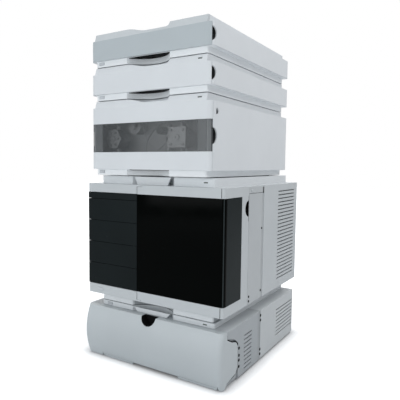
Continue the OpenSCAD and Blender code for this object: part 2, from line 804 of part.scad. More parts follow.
// Housing of the sampler: top, left side, back, vented right side and the bands of the column
module sampler_cabinet() {
    z0 = sampler_plinth_h;
    z1 = main_top_z;
    inner = sampler_half - wall;
    louvre_y = sampler_d - 27 - slot_l;
    color(shell_grey) at_sampler() difference() {
        union() {
            difference() {
                up(z0) slab(-sampler_half, sampler_half, 0, sampler_d, z1 - z0, corner_r);
                // room inside
                block([-inner, -1, z0 - 1], [inner, sampler_d - wall, z1 - wall]);
                // the door and the side panel close these
                block([column_x, -1, z0 - 1], [far, door_t + seam, z1 + 1]);
                block([sampler_half - door_t - seam, -1, z0 - 1], [far, panel_y0, z1 + 1]);
                block([inner, panel_y0 - 1, z0 - 1], [far, panel_y1 + seam, z1 - wall]);
                // the drawers' fronts close this
                block([-far, -1, pane_z], [column_x, fascia_y + seam, pane_top_z]);
            }
            // bands over and under the drawers
            block([-inner - 1, 0, z0], [column_x - seam, wall, pane_z - seam]);
            block([-inner - 1, 0, pane_top_z + seam], [column_x - seam, wall, z1]);
            wide_crown(sampler_bay_x, sampler_plinth, sampler_front_inset, sampler_rear, z1, sampler_crown_h);
            for (z = [z0, z1 - ear_t]) hinge_ear(z);
            // inner wall behind the side panel
            block([inner - 2, panel_y0, z0 + flange_t], [inner, panel_y1 + seam + 12, z1 - wall + eps]);
        }
        // rooms of the crown and the main body join
        block([-sampler_plinth + wall, sampler_front_inset + bay_d + 2 * wall, z1 - wall - 1],
              [sampler_plinth - wall, sampler_rear - wall, z1 + 1]);
        // shallow groove behind the side panel
        block([sampler_half - 1.2, panel_y1, z0 - 1], [far, panel_y1 + 6, z1 + 1]);
        // louvres in both sides
        for (s = [-1, 1])
            slots(s > 0 ? inner - 3 : -sampler_half - 1, s > 0 ? sampler_half + 1 : -inner + 3,
                  louvre_y, louvre_y + slot_l, z1 - 18, sampler_slots);
        fan_grille_cut(sampler_fan_x, sampler_fan_z, sampler_d - wall - 1, sampler_d + 1);
        front_hole(sampler_inlet_x, z0 + inlet_up + inlet_h / 2, inlet_w, inlet_h, sampler_d - wall - 1,
            sampler_d + 1);
        socket_opening(sampler_sockets, sampler_d);
        front_hole(sampler_button_x, sampler_button_z, button_w + 2 * button_clear,
                   button_h + 2 * button_clear, -1, wall + 1);
        front_hole(sampler_lamp_x, z1 + sampler_crown_h / 2, lamp_w, lamp_h, sampler_front_inset - 1,
            sampler_front_inset + wall + 1);
    }
}

// L-shaped plan of the door: the front leg and the leg along the right side
module door_plan(z0, z1, margin, wrap) {
    difference() {
        intersection() {
            up(z0) slab(column_x - 40, sampler_half - margin, margin, sampler_d, z1 - z0, door_r - margin);
            block([column_x + door_gap, 0, z0], [sampler_half, wrap, z1]);
        }
        children();
    }
}

// Pale door with a rebate for the dark pane, hung on pins at its left edge
module sampler_door() {
    z0 = sampler_plinth_h;
    z1 = main_top_z;
    color(shell_grey) at_sampler() difference() {
        door_plan(z0, z1, 0, door_wrap) {
            // inside of the L
            block([-far, door_t, z0 - 1], [sampler_half - door_t, far, z1 + 1]);
        }
        // rebate for the pane
        difference() {
            block([-far, -1, pane_z], [far, glass_wrap, pane_top_z]);
            up(pane_z - 1) slab(column_x - 40, sampler_half - glass_t, glass_t, sampler_d,
                pane_top_z - pane_z + 2, door_r - glass_t);
        }
        // grip and finger slot in the free edge
        translate([sampler_half - door_t - 1, door_wrap, door_grip_z]) rotate([0, 90, 0])
            cylinder(h = far, r = door_grip_r);
        block([sampler_half - door_t - 1, door_wrap - door_slit_w, door_grip_z - door_slit_l / 2],
            [far, door_wrap + 1, door_grip_z + door_slit_l / 2]);
        // notches round the hinge ears, and the bores for the pins
        for (z = [z0 - 1, z1 - ear_t - seam]) {
            translate([door_axis_x, door_axis_y, z]) cylinder(h = ear_t + seam + 1, r = ear_r + 2 * seam);
            block([column_x, -1, z], [door_axis_x, door_axis_y + ear_r + 2 * seam, z + ear_t + seam + 1]);
        }
        for (z = [z0, z1 - pin_l])
            translate([door_axis_x, door_axis_y, z]) cylinder(h = pin_l, r = pin_r + pin_clear);
    }
}

module sampler_door_glass() {
    color(glass_black) at_sampler() door_plan(pane_z, pane_top_z, 0, glass_wrap) {
        up(pane_z - 1) slab(column_x - 40, sampler_half - glass_t, glass_t, sampler_d,
            pane_top_z - pane_z + 2, door_r - glass_t);
    }
}

// Panel between the door's free edge and the vented housing
module sampler_side_panel() {
    color(shell_grey) at_sampler()
        block([sampler_half - wall, panel_y0, sampler_plinth_h], [sampler_half, panel_y1, main_top_z - wall]);
}

// Sheet-metal column with a shelf under each drawer
module drawer_frame() {
    y0 = door_t + 6;
    y1 = y0 + drawer_l + 20;
    x0 = -sampler_half + wall;
    z0 = sampler_plinth_h + flange_t;
    color(steel) at_sampler() {
        block([divider_x, y0, z0], [column_x, y1, main_top_z - wall]);
        block([x0, y0, z0], [x0 + divider_t, y1, main_top_z - wall]);
        for (i = [0:drawer_count]) {
            z = pane_z + i * drawer_pitch - divider_t / 2;
            block([x0, y0, z], [column_x - eps, y1, z + divider_t]);
        }
        block([x0, y1 - divider_t, z0], [column_x, y1, main_top_z - wall]);
        // dark strip over the top drawer
        block([-sampler_half, 0, pane_top_z - strip_h + seam], [column_x - seam, wall, pane_top_z]);
        block([x0, wall - eps, pane_top_z - strip_h + seam],
            [column_x - seam, y0 + eps, pane_top_z - strip_h / 2]);
    }
}

// Drawer with a dark front and a tray for two sample plates; number 1 is at the top
module drawer(number) {
    z0 = pane_z + (drawer_count - number) * drawer_pitch;
    x0 = -sampler_half + wall + divider_t + 2;
    x1 = divider_x - 2;
    tray_z = z0 + divider_t / 2 + drawer_clear;
    top_z = z0 + drawer_pitch;
    y0 = door_t - 1;
    y1 = y0 + drawer_l;
    at_sampler() {
        color(glass_black)
            block([-sampler_half, 0, z0 + seam], [column_x - seam, door_t, top_z - seam]);
        color(steel) difference() {
            block([x0, y0, tray_z], [x1, y1, tray_z + drawer_side_h]);
            block([x0 + 2, y0 + 2, tray_z + 2], [x1 - 2, y1 - 2, tray_z + drawer_side_h + 1]);
        }
    }
}
module drawer_1() { drawer(1); }
module drawer_2() { drawer(2); }
module drawer_3() { drawer(3); }
module drawer_4() { drawer(4); }

// Two guide rods along X on end brackets that stand on the floor
rail_x0 = column_x + 8;
rail_x1 = sampler_half - wall - 16;
rod_gap = 30;
module transport_rail() {
    color(steel) at_sampler() {
        for (z = [rail_z, rail_z + rod_gap]) rod_x(rail_x0, rail_x1, rail_y, z, rod_d / 2);
        // the left bracket stands in the tub, the right one on the tub's flange
        block([rail_x0, rail_y - 14, tub_floor_z], [rail_x0 + 6, rail_y + 14, rail_z + rod_gap + 12]);
        block([rail_x1 - 6, rail_y - 14, sampler_plinth_h + flange_t - eps],
            [rail_x1, rail_y + 14, rail_z + rod_gap + 12]);
    }
}

carriage_x = (rail_x0 + rail_x1) / 2;
arm_r = 4;
arm_y = rail_y - 24;
module transport_carriage() {
    color(dark) at_sampler() difference() {
        block([carriage_x - carriage_w / 2, rail_y - 34, rail_z - 12],
              [carriage_x + carriage_w / 2, rail_y + 12, rail_z + rod_gap + 11]);
        for (z = [rail_z, rail_z + rod_gap])
            rod_x(carriage_x - carriage_w, carriage_x + carriage_w, rail_y, z, rod_d / 2 + pin_clear);
        translate([carriage_x, arm_y, rail_z - 20]) cylinder(h = rod_gap + 50, r = arm_r + pin_clear);
    }
}

// Needle arm: an upright rod in the carriage with the needle at its foot
module needle_arm() {
    color(steel) at_sampler() {
        translate([carriage_x, arm_y, rail_z - 60]) cylinder(h = 94, r = arm_r);
        block([carriage_x - 9, arm_y - 40, rail_z - 66], [carriage_x + 9, arm_y + 6, rail_z - 59]);
        translate([carriage_x, arm_y - 34, rail_z - 106]) cylinder(h = 42, r = 0.8);
        translate([carriage_x, arm_y - 34, rail_z - 60]) cylinder(h = 10, r = 4);
    }
}

// Injection valve: drive block on the floor with the stator and its six ports at the front
module injection_valve() {
    drive_half = 24;
    drive_y = 70;
    valve_drive_l = 90;
    stator_r = 22;
    stator_l = 26;
    port_ring_r = 12;
    x = sampler_half - wall - 60;
    z = sampler_plinth_h + flange_t + 40;
    color(casting) at_sampler() {
        block([x - drive_half, drive_y, tub_floor_z],
            [x + drive_half, drive_y + valve_drive_l, z + drive_half + 2]);
        rod_y(x, drive_y - stator_l, drive_y + 1, z, stator_r);
        for (a = [0:60:300])
            rod_y(x + port_ring_r * cos(a), drive_y - stator_l - 8, drive_y - stator_l + 1,
                z + port_ring_r * sin(a), 3);
    }
}

// Metering device: motor housing with the syringe barrel in front
module metering_device() {
    motor_half = 30;
    motor_y = 60;
    metering_l = 90;
    barrel_r = 13;
    barrel_l = 34;
    x = column_x + 59;
    z = sampler_plinth_h + flange_t + 40;
    color(casting) at_sampler() {
        block([x - motor_half, motor_y, tub_floor_z],
            [x + motor_half, motor_y + metering_l, z + motor_half]);
        rod_y(x, motor_y - barrel_l, motor_y + 1, z, barrel_r);
        rod_y(x, motor_y - barrel_l - 6, motor_y - barrel_l + 1, z, 5);
    }
}
module sampler_power_button() { at_sampler() push_button(sampler_button_x, sampler_button_z, 0); }

// ---- Detector ----

detector_half = detector_w / 2;
detector_plinth = detector_half - wide_inset;
det_x_in = detector_half - wall;
chassis_x = detector_half - wall - seam - 2;
lug_x = detector_half - 30;
door_foot_z = 2;
cabinet_front_y = door_top_l + 2 * seam;
// Rear outline of the door's cheeks, from under its top edge down to its foot
cheek_edge = [
    [door_top_l, detector_top_z - 18], [cheek_l - 30, detector_top_z - 29.5],
    [cheek_l - 9, detector_top_z - 36], [cheek_l, detector_top_z - 47.5],
    [cheek_l, 33], [cheek_l - 9, 21],
    [hinge_y + 12, 13], [hinge_y + 2, door_foot_z]];
door_outline = concat(
    [[-door_bulge - 1, door_foot_z], [-door_bulge - 1, detector_top_z], [door_top_l, detector_top_z]],
    cheek_edge);
cheek_gap = 1.5;
catch_hole_r = 2.6;
swing_r = max([for (p = cheek_edge) norm(p - [hinge_y, hinge_z])]) + cheek_gap;
// The door's bulged face is part of a wide drum that lies along X
door_sag = door_bulge + door_edge;
door_span = detector_top_z - door_foot_z;
drum_r = (door_span * door_span / 4 + door_sag * door_sag) / (2 * door_sag);
drum_y = drum_r - door_bulge;
drum_z = (detector_top_z + door_foot_z) / 2;
// Foot of the door: two skirts with the raised stretch between them
skirt_left = [-143, -49];
skirt_right = [82, 182];
raised_z = 8;
skirt_line_z = 9;
recess_x = 3 - bay_shift;
button_z_d = detector_top_z + detector_crown_h / 2 - 0.5;
detector_fan_x = -90;
detector_fan_z = 62;

module detector_base() {
    z0 = foot_h;
    y0 = hinge_y + 20;
    color(shell_grey) at_detector() {
        block([-chassis_x, y0, z0], [chassis_x, detector_d - wall, z0 + wall]);
        // ears that carry the door's hinge pins
        for (s = [-1, 1]) difference() {
            union() {
                block([s * lug_x - 5, hinge_y, hinge_z - 4], [s * lug_x + 5, y0 + 6, hinge_z + 4]);
                block([s * lug_x - 5, y0, z0], [s * lug_x + 5, y0 + 6, hinge_z + 4]);
                rod_x(s * lug_x - 5, s * lug_x + 5, hinge_y, hinge_z, 4);
            }
            rod_x(s * lug_x - 6, s * lug_x + 6, hinge_y, hinge_z, pin_r);
        }
    }
}

// Housing of the detector: vented sides, back and raised top, cut back where the door swings
module detector_cabinet() {
    z0 = foot_h;
    z1 = detector_top_z;
    front = cabinet_front_y;
    rear_y = detector_d - 8 - slot_l;
    color(shell_grey) at_detector() difference() {
        union() {
            difference() {
                up(z0) slab(-detector_half, detector_half, -20, detector_d, z1 - z0, corner_r);
                block([-det_x_in, -21, z0 - 1], [det_x_in, detector_d - wall, z1 - wall]);
                block([-far, -21, 0], [far, front, z1 + 1]);
                // room for the cheeks as they swing
                intersection() {
                    rod_x(-far, far, hinge_y, hinge_z, swing_r);
                    block([-far, 0, 0], [far, cheek_l + cheek_gap, z1 - 10]);
                }
                block([-far, 0, 0], [far, cheek_l + cheek_gap, detector_top_z - 47]);
            }
            // inner cheeks behind the door's cheeks
            for (s = [-1, 1])
                block([s > 0 ? chassis_x : -chassis_x - 2, front, z0],
                      [s > 0 ? chassis_x + 2 : -chassis_x, cheek_l + 14, z1 - wall + eps]);
            for (s = [-1, 1])
                block([s > 0 ? chassis_x + 1 : -det_x_in - eps, cheek_l + seam, z0],
                      [s > 0 ? det_x_in + eps : -chassis_x - 1, cheek_l + 14, z1 - wall + eps]);
            wide_crown(-bay_shift, detector_plinth, detector_front_inset, detector_d - rear_inset, z1,
                detector_crown_h);
            // front wall with the black catch behind the finger recess
            block([-chassis_x - 1, front, z1 - 40], [chassis_x + 1, front + 2, z1 - wall + eps]);
        }
        block([-detector_plinth + wall, detector_front_inset + bay_d + 2 * wall, z1 - wall - 1],
              [detector_plinth - wall, detector_d - rear_inset - wall, z1 + 1]);
        for (s = [-1, 1]) {
            x0 = s > 0 ? det_x_in - 1 : -detector_half - 1;
            x1 = s > 0 ? detector_half + 1 : -det_x_in + 1;
            // vents behind the door's cheek and at the back
            slots(x0, x1, 109, 150, z1 - 33, front_slots);
            slots(x0, x1, rear_y, rear_y + slot_l, z1 - 26, rear_slots);
            // upright groove with four catch holes
            block([s > 0 ? detector_half - 1.2 : -detector_half - 1, vent_groove_y, z0 - 1],
                  [s > 0 ? detector_half + 1 : -detector_half + 1.2, vent_groove_y + 2, z1 + 1]);
            for (z = [z0 + 12, z0 + 24, z1 - 24, z1 - 12]) rod_x(x0, x1, vent_groove_y + 1, z, catch_hole_r);
            for (z = [31, 46, 57, 74]) rod_x(x0, x1, cheek_l + 6, z, catch_hole_r);
        }
        fan_grille_cut(detector_fan_x, detector_fan_z, detector_d - wall - 1, detector_d + 1);
        front_hole(detector_inlet_x, z0 + wall + inlet_h / 2 + 6, inlet_w, inlet_h,
            detector_d - wall - 1, detector_d + 1);
        socket_opening(detector_sockets, detector_d);
        front_hole(detector_button_x, button_z_d, button_w + 2 * button_clear, button_h + 2 * button_clear,
                   detector_front_inset - 1, detector_front_inset + wall + 1);
        front_hole(detector_lamp_x, button_z_d, lamp_w, lamp_h, detector_front_inset - 1,
            detector_front_inset + wall + 1);
    }
}

// Drum with rounded rims, drawn in by a margin
module door_drum(margin) {
    r = drum_r - margin;
    half = detector_half - margin;
    rim = detector_door_r - margin;
    translate([0, drum_y, drum_z]) rotate([0, 90, 0]) rotate_extrude($fn = 240) {
        translate([0, -half]) square([r - rim, 2 * half]);
        translate([0, -half + rim]) square([r, 2 * half - 2 * rim]);
        for (s = [-1, 1]) translate([r - rim, s * (half - rim)]) circle(rim);
    }
}

// Drop-down door: bulged face, top edge and two cheeks, with bosses for its hinge pins
module detector_door() {
    boss_r = 4.5;
    boss_w = 7;
    boss_dx = 9;
    color(shell_grey) at_detector() difference() {
        intersection() {
            bar_x(-detector_half, detector_half, door_outline);
            door_drum(0);
        }
        difference() {
            intersection() {
                block([-det_x_in, -door_bulge, door_foot_z - 1], [det_x_in, far, detector_top_z - wall]);
                door_drum(wall);
            }
            // bosses on the inside, one each side of the base's ear
            for (s = [-1, 1], e = [-1, 1]) {
                x = s * lug_x + e * boss_dx;
                rod_x(x - boss_w / 2, x + boss_w / 2, hinge_y, hinge_z, boss_r);
                block([x - boss_w / 2, -door_bulge, hinge_z - boss_r],
                    [x + boss_w / 2, hinge_y, hinge_z + boss_r]);
            }
        }
        // raised middle of the foot
        block([skirt_left[1], -door_bulge - 1, 0], [skirt_right[0], 60, raised_z]);
        // fine line over each skirt, and the notches beside them
        for (skirt = [skirt_left, skirt_right]) difference() {
            block([skirt[0], -door_bulge - 1, skirt_line_z], [skirt[1] + eps, 60, skirt_line_z + 0.8]);
            door_drum(0.8);
        }
        for (x = [skirt_left[0] - 2, skirt_right[1] + 4])
            bar_y(-door_bulge - 1, door_edge + wall, [[x - 3.5, 0], [x + 3.5, 0], [x, raised_z + 6]]);
        // half-round finger recess
        rod_y(recess_x, -door_bulge - 1, door_top_l + 1, detector_top_z, recess_r);
        // pin bores
        for (s = [-1, 1]) rod_x(s * lug_x - 20, s * lug_x + 20, hinge_y, hinge_z, pin_r + pin_clear);
    }
}

// Cast optical bench with its lid
bench_left = 80;
bench_right = 90;
bench_y0 = 120;
bench_y1 = detector_d - 106;
bench_h = 62;
bench_z0 = foot_h + wall;
module optical_unit() {
    lid_in = 8;
    lid_h = 6;
    color(casting) at_detector() {
        block([-bench_left, bench_y0, bench_z0], [bench_right, bench_y1, bench_z0 + bench_h]);
        block([-bench_left + lid_in, bench_y0 + lid_in, bench_z0 + bench_h - 1],
            [bench_right - lid_in, bench_y1 - lid_in, bench_z0 + bench_h + lid_h]);
    }
}

// Lamp housing beside the bench, with its cooling fins
module lamp_housing() {
    body_x = bench_right + 8;
    body_y = bench_y0 + 80;
    body_w = 52;
    body_l = 80;
    body_h = 50;
    fin_t = 3;
    fin_rise = 6;
    fin_out = 8;
    fin_in = 3.5;
    color(steel) at_detector() for (i = [0:4])
        union() {
            block([body_x, body_y, bench_z0], [body_x + body_w, body_y + body_l, bench_z0 + body_h]);
            translate([0, body_y + body_l * (0.05 + i * 0.2), 0])
                block([body_x - fin_in, 0, bench_z0],
                    [body_x + body_w + fin_out, fin_t, bench_z0 + body_h + fin_rise]);
        }
}

// Flow cell on the front of the bench: its block, the round cover and two capillary ports
module flow_cell() {
    cell_w = 42;
    cell_l = 42;
    cell_h = 40;
    cell_x = 5;
    port_dx = 13;
    color(steel) at_detector() {
        block([cell_x - cell_w / 2, bench_y0 - cell_l, bench_z0],
            [cell_x + cell_w / 2, bench_y0, bench_z0 + cell_h]);
        rod_y(cell_x, bench_y0 - cell_l - 16, bench_y0 - cell_l + 1, bench_z0 + 24, 8);
        for (s = [-1, 1])
            rod_y(cell_x + s * port_dx, bench_y0 - cell_l - 12, bench_y0 - cell_l + 1, bench_z0 + 10, 3);
    }
}
module detector_power_button() {
    at_detector() push_button(detector_button_x, button_z_d, detector_front_inset);
}

// ---- Parts that several modules share ----

// A rotor: hub on the frame's shaft, with flat pitched blades
module fan_rotor(x, z, y_back) {
    y0 = y_back - fan_t + 3;
    color(dark) difference() {
        union() {
            rod_y(x, y0, y0 + 16, z, fan_hub_r);
            for (i = [0:blade_count - 1])
                translate([x, y0 + 8, z]) rotate([0, i * 360 / blade_count, 0])
                    translate([fan_hub_r - 2, 0, 0])
                    rotate([35, 0, 0]) translate([0, -0.8, -9])
                        cube([fan_d / 2 - 2 - fan_hub_r + 2, 1.6, 18]);
        }
        rod_y(x, y0 - 1, y0 + 17, z, fan_shaft_r + pin_clear);
    }
}

// A square frame with the shaft on a spider of four arms at the back
module fan_housing(x, z, y_back) {
    half = fan_frame / 2;
    y0 = y_back - fan_t;
    difference() {
        block([x - half, y0, z - half], [x + half, y_back, z + half]);
        rod_y(x, y0 - 1, y_back + 1, z, fan_d / 2);
        for (dx = [-1, 1], dz = [-1, 1])
            rod_y(x + dx * (half - 5), y0 - 1, y_back + 1, z + dz * (half - 5), 2.2);
    }
    rod_y(x, y_back - 4, y_back, z, fan_boss_r);
    rod_y(x, y0 + 1, y_back - 3, z, fan_shaft_r);
    for (a = [0:90:270]) translate([x, 0, z]) rotate([0, a, 0])
        block([fan_boss_r - 2, y_back - 4, -2], [fan_d / 2 + 2, y_back, 2]);
}
module pump_fan_rotor() { at_pump() fan_rotor(pump_fan_x, pump_fan_z, narrow_d - wall); }
module sampler_fan_rotor() { at_sampler() fan_rotor(sampler_fan_x, sampler_fan_z, sampler_d - wall); }
module detector_fan_rotor() { at_detector() fan_rotor(detector_fan_x, detector_fan_z, detector_d - wall); }
module fan_frames() {
    color(dark) {
        at_pump() fan_housing(pump_fan_x, pump_fan_z, narrow_d - wall);
        at_sampler() fan_housing(sampler_fan_x, sampler_fan_z, sampler_d - wall);
        at_detector() fan_housing(detector_fan_x, detector_fan_z, detector_d - wall);
    }
}

// Four feet under every module: thick ones on the bench, thin pads between the modules
module foot_set(half_x, y0, y1, z0, z1, r) {
    for (x = [-half_x, half_x], y = [y0, y1]) translate([x, y, z0]) cylinder(h = z1 - z0, r = r);
}
module rubber_feet() {
    pad_r = 9;
    door_pad_w = 13;
    door_pad_l = 28;
    door_pad_back = 7;
    color(dark) {
        at_detector() {
            foot_set(detector_plinth - 5, hinge_y + 50, detector_d - 40, 0, foot_h, foot_d / 2);
            // pad at the end of the door's left skirt
            block([skirt_left[1], hinge_y + door_pad_back, 0],
                [skirt_left[1] + door_pad_w, hinge_y + door_pad_back + door_pad_l, foot_h]);
        }
        at_sampler() foot_set(sampler_plinth - 30, 90, sampler_d - 60, 0, stack_gap, pad_r);
        at_pump() foot_set(plinth_half - 25, 80, narrow_d - 50, 0, stack_gap, pad_r);
        at_degasser_2() foot_set(plinth_half - 25, 80, narrow_d - 50, 0, stack_gap, pad_r);
        at_degasser_1() foot_set(plinth_half - 25, 80, narrow_d - 50, 0, stack_gap, pad_r);
    }
}

// Light guides of the status lamps
module status_lamps() {
    color([0.2, 0.24, 0.22]) {
        at_degasser_2() front_hole(lamp_x, thin_h - crown_h / 2, lamp_w, lamp_h, lamp_face_y,
            crown_lip + lamp_d);
        at_pump() front_hole(lamp_x, pump_h - crown_h / 2, lamp_w, lamp_h, lamp_face_y, crown_lip + lamp_d);
        at_sampler() front_hole(sampler_lamp_x, main_top_z + sampler_crown_h / 2, lamp_w, lamp_h,
                                sampler_front_inset - 0.3, sampler_front_inset + lamp_d);
        at_detector() front_hole(detector_lamp_x, button_z_d, lamp_w, lamp_h,
                                 detector_front_inset - 0.3, detector_front_inset + lamp_d);
    }
}

module grip_cups() {
    color(dark) for (side = [-1, 1]) {
        at_degasser_1() grip_cup(side, thin_return, thin_h, thin_grip_r);
        at_degasser_2() grip_cup(side, thin_return, thin_h, thin_grip_r);
        at_pump() grip_cup(side, pump_return, pump_h, pump_grip_r);
    }
}

// Main board on four posts, with chips and a row of connectors
module main_board(x, y, z) {
    post_h = 4;
    board_w = 120;
    board_d = 100;
    color(board_green) {
        for (dx = [6, board_w - 6], dy = [6, board_d - 6]) translate([x + dx, y + dy, z])
            cylinder(h = post_h + eps, r = 3);
        block([x, y, z + post_h], [x + board_w, y + board_d, z + post_h + 1.6]);
        for (i = [0:2]) block([x + 14 + i * 34, y + 20, z + post_h + 1.5],
            [x + 36 + i * 34, y + 42, z + post_h + 4]);
        block([x + 10, y + 70, z + post_h + 1.5], [x + board_w - 10, y + 82, z + post_h + 12]);
    }
}
module main_boards() {
    board_back = 145;
    detector_board_back = 103;
    board_y = narrow_d - board_back;
    at_degasser_1() main_board(-60, board_y, tub_floor_z);
    at_degasser_2() main_board(-60, board_y, tub_floor_z);
    at_pump() main_board(-20, board_y, tub_floor_z);
    at_sampler() main_board(-30, sampler_d - 112, tub_floor_z);
    at_detector() main_board(-30, detector_d - detector_board_back, foot_h + wall);
}

// Steel hinge pins: two upright ones in the sampler's door, two level ones in the detector's
module hinge_pins() {
    color(steel) {
        at_sampler() for (z = [sampler_plinth_h, main_top_z - pin_l + 2])
            translate([door_axis_x, door_axis_y, z]) cylinder(h = pin_l - 2, r = pin_r);
        at_detector() for (s = [-1, 1]) rod_x(s * lug_x - 13, s * lug_x + 13, hinge_y, hinge_z, pin_r);
    }
}

// Mains inlet: a block with a recess for the lead's connector, set in the back wall
module power_inlet(x, z0, y_back) {
    z = z0 + inlet_h / 2;
    difference() {
        union() {
            front_hole(x, z, inlet_w, inlet_h, y_back - wall - inlet_d, y_back);
            front_hole(x, z, inlet_w + 8, inlet_h, y_back - wall - 2, y_back - wall);
        }
        front_hole(x, z, inlet_w - 5, inlet_h - 7, y_back - 18, y_back + 1);
    }
    for (dx = [-7, 0, 7]) block([x + dx - 1, y_back - 19, z - 2.5], [x + dx + 1, y_back - 4, z + 2.5]);
}
module power_inlets() {
    color(dark) {
        at_degasser_1() power_inlet(narrow_inlet_x, plinth_h + inlet_up, narrow_d);
        at_degasser_2() power_inlet(narrow_inlet_x, plinth_h + inlet_up, narrow_d);
        at_pump() power_inlet(narrow_inlet_x, plinth_h + inlet_up, narrow_d);
        at_sampler() power_inlet(sampler_inlet_x, sampler_plinth_h + inlet_up, sampler_d);
        at_detector() power_inlet(detector_inlet_x, foot_h + wall + 6, detector_d);
    }
}

// Steel interface panel behind its opening: two data sockets with screw posts, a network
// socket and two round sockets, none of them prouder than the back wall
module on_panel(x, y, z) { translate([x, y, z]) rotate([90, 0, 180]) children(); }
module socket_outline(w, h) {
    lean = 1.6;
    polygon([[-w / 2, h / 2], [w / 2, h / 2], [w / 2 - lean, -h / 2], [lean - w / 2, -h / 2]]);
}
module data_socket() {
    flange = [31, 12.5, 0.8];
    shell = [18, 9];
    post_x = 12.5;
    linear_extrude(flange[2]) square([flange[0], flange[1]], center = true);
    linear_extrude(socket_rise) difference() {
        socket_outline(shell[0], shell[1]);
        socket_outline(shell[0] - 1.6, shell[1] - 1.6);
    }
    for (s = [-1, 1]) translate([s * post_x, 0, 0]) cylinder(h = socket_rise, r = 2.4, $fn = 6);
}
module network_socket() {
    linear_extrude(socket_rise) difference() {
        square([16, 14], center = true);
        square([12, 9], center = true);
    }
}
module round_socket() {
    difference() {
        cylinder(h = socket_rise, r = 5);
        up(0.6) cylinder(h = socket_rise, r = 3.6);
    }
}
module interface_panel(middle, y_back) {
    x = middle[0];
    z = middle[1];
    y = y_back - wall;
    block([x - panel_w / 2 - panel_edge, y - panel_plate_t, z - panel_h / 2 - panel_edge],
        [x + panel_w / 2 + panel_edge, y, z + panel_h / 2 + panel_edge]);
    for (dx = [5, 42]) on_panel(x + dx, y - eps, z) data_socket();
    on_panel(x - 23, y - eps, z) network_socket();
    for (dx = [-40, -53]) on_panel(x + dx, y - eps, z) round_socket();
}
module interface_panels() {
    color(steel) {
        at_degasser_1() interface_panel(thin_sockets, narrow_d);
        at_degasser_2() interface_panel(thin_sockets, narrow_d);
        at_pump() interface_panel(pump_sockets, narrow_d);
        at_sampler() interface_panel(sampler_sockets, sampler_d);
        at_detector() interface_panel(detector_sockets, detector_d);
    }
}

degasser_1_base();
degasser_1_cabinet();
degasser_1_front_cover();
degasser_1_chambers();
degasser_1_vacuum_pump();
degasser_1_power_button();
degasser_2_base();
degasser_2_cabinet();
degasser_2_front_cover();
degasser_2_chambers();
degasser_2_vacuum_pump();
degasser_2_power_button();
pump_base();
pump_cabinet();
pump_front_cover();
pump_window();
pump_chassis();
pump_drive();
pump_head_left();
pump_head_right();
plunger_left();
plunger_right();
purge_knob();
pump_damper();
pump_mixer();
pump_fan_rotor();
pump_power_button();
sampler_base();
sampler_cabinet();
sampler_door();
sampler_door_glass();
sampler_side_panel();
drawer_frame();
drawer_1();
drawer_2();
drawer_3();
drawer_4();
transport_rail();
transport_carriage();
needle_arm();
injection_valve();
metering_device();
sampler_fan_rotor();
sampler_power_button();
detector_base();
detector_cabinet();
detector_door();
optical_unit();
lamp_housing();
flow_cell();
detector_fan_rotor();
detector_power_button();
rubber_feet();
status_lamps();
grip_cups();
main_boards();
fan_frames();
hinge_pins();
interface_panels();
power_inlets();
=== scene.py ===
import math
import bmesh
import bpy
from mathutils import Matrix, Vector


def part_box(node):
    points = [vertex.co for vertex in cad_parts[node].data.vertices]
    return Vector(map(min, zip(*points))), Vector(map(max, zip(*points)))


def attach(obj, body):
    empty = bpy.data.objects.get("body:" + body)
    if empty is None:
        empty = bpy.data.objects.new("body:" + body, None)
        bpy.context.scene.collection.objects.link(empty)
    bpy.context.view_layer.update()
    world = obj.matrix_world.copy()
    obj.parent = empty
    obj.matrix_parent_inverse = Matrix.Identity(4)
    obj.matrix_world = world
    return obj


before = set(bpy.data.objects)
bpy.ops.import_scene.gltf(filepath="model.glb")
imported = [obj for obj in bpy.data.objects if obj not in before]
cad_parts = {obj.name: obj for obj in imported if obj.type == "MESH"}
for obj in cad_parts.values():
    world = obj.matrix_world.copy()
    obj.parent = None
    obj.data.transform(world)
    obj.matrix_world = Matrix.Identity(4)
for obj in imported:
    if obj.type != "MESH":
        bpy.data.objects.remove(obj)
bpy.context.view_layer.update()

# The viewer's place: a normal lens a little below the middle of the stack and well to its
# right, so that the fronts and the right-hand sides of all five modules show.
view_turn, view_dip, view_roll = 0.564, 0.075, 0.010
view_spot = Vector((0.632452, -1.049321, 0.489202))
ahead = Vector((-math.sin(view_turn) * math.cos(view_dip),
                math.cos(view_turn) * math.cos(view_dip), -math.sin(view_dip)))
level_right = Vector((math.cos(view_turn), math.sin(view_turn), 0))
level_up = level_right.cross(ahead)
view_right = level_right * math.cos(view_roll) + level_up * math.sin(view_roll)
view_up = level_up * math.cos(view_roll) - level_right * math.sin(view_roll)
lens = bpy.data.cameras.new("viewer")
lens.sensor_width = 36
lens.lens = 40.539
lens.shift_x, lens.shift_y = 0.02628, -0.00411
lens.clip_start, lens.clip_end = 0.05, 60
viewer = bpy.data.objects.new("viewer", lens)
viewer.matrix_world = Matrix((
    (view_right.x, view_up.x, -ahead.x, view_spot.x),
    (view_right.y, view_up.y, -ahead.y, view_spot.y),
    (view_right.z, view_up.z, -ahead.z, view_spot.z),
    (0, 0, 0, 1)))
bpy.context.scene.collection.objects.link(viewer)
bpy.context.scene.camera = viewer
bpy.context.scene.view_settings.view_transform = "Standard"

# The studio: a white sheet under the stack, lit by four wide soft boxes. The sheet keeps
# the shadow, and beyond it everything is plain white. Seen by the viewer the sheet also glows,
# more with distance from the base: painted light, faded out in a band round the base as a
# painted contact shadow.
def soft_box(name, spot, aim, width, height, watts, tint=(1, 1, 1)):
    light = bpy.data.lights.new(name, "AREA")
    light.shape = "RECTANGLE"
    light.size, light.size_y = width, height
    light.energy = watts
    light.color = tint
    holder = bpy.data.objects.new(name, light)
    holder.location = spot
    holder.rotation_euler = (Vector(aim) - Vector(spot)).to_track_quat("-Z", "Y").to_euler()
    bpy.context.scene.collection.objects.link(holder)

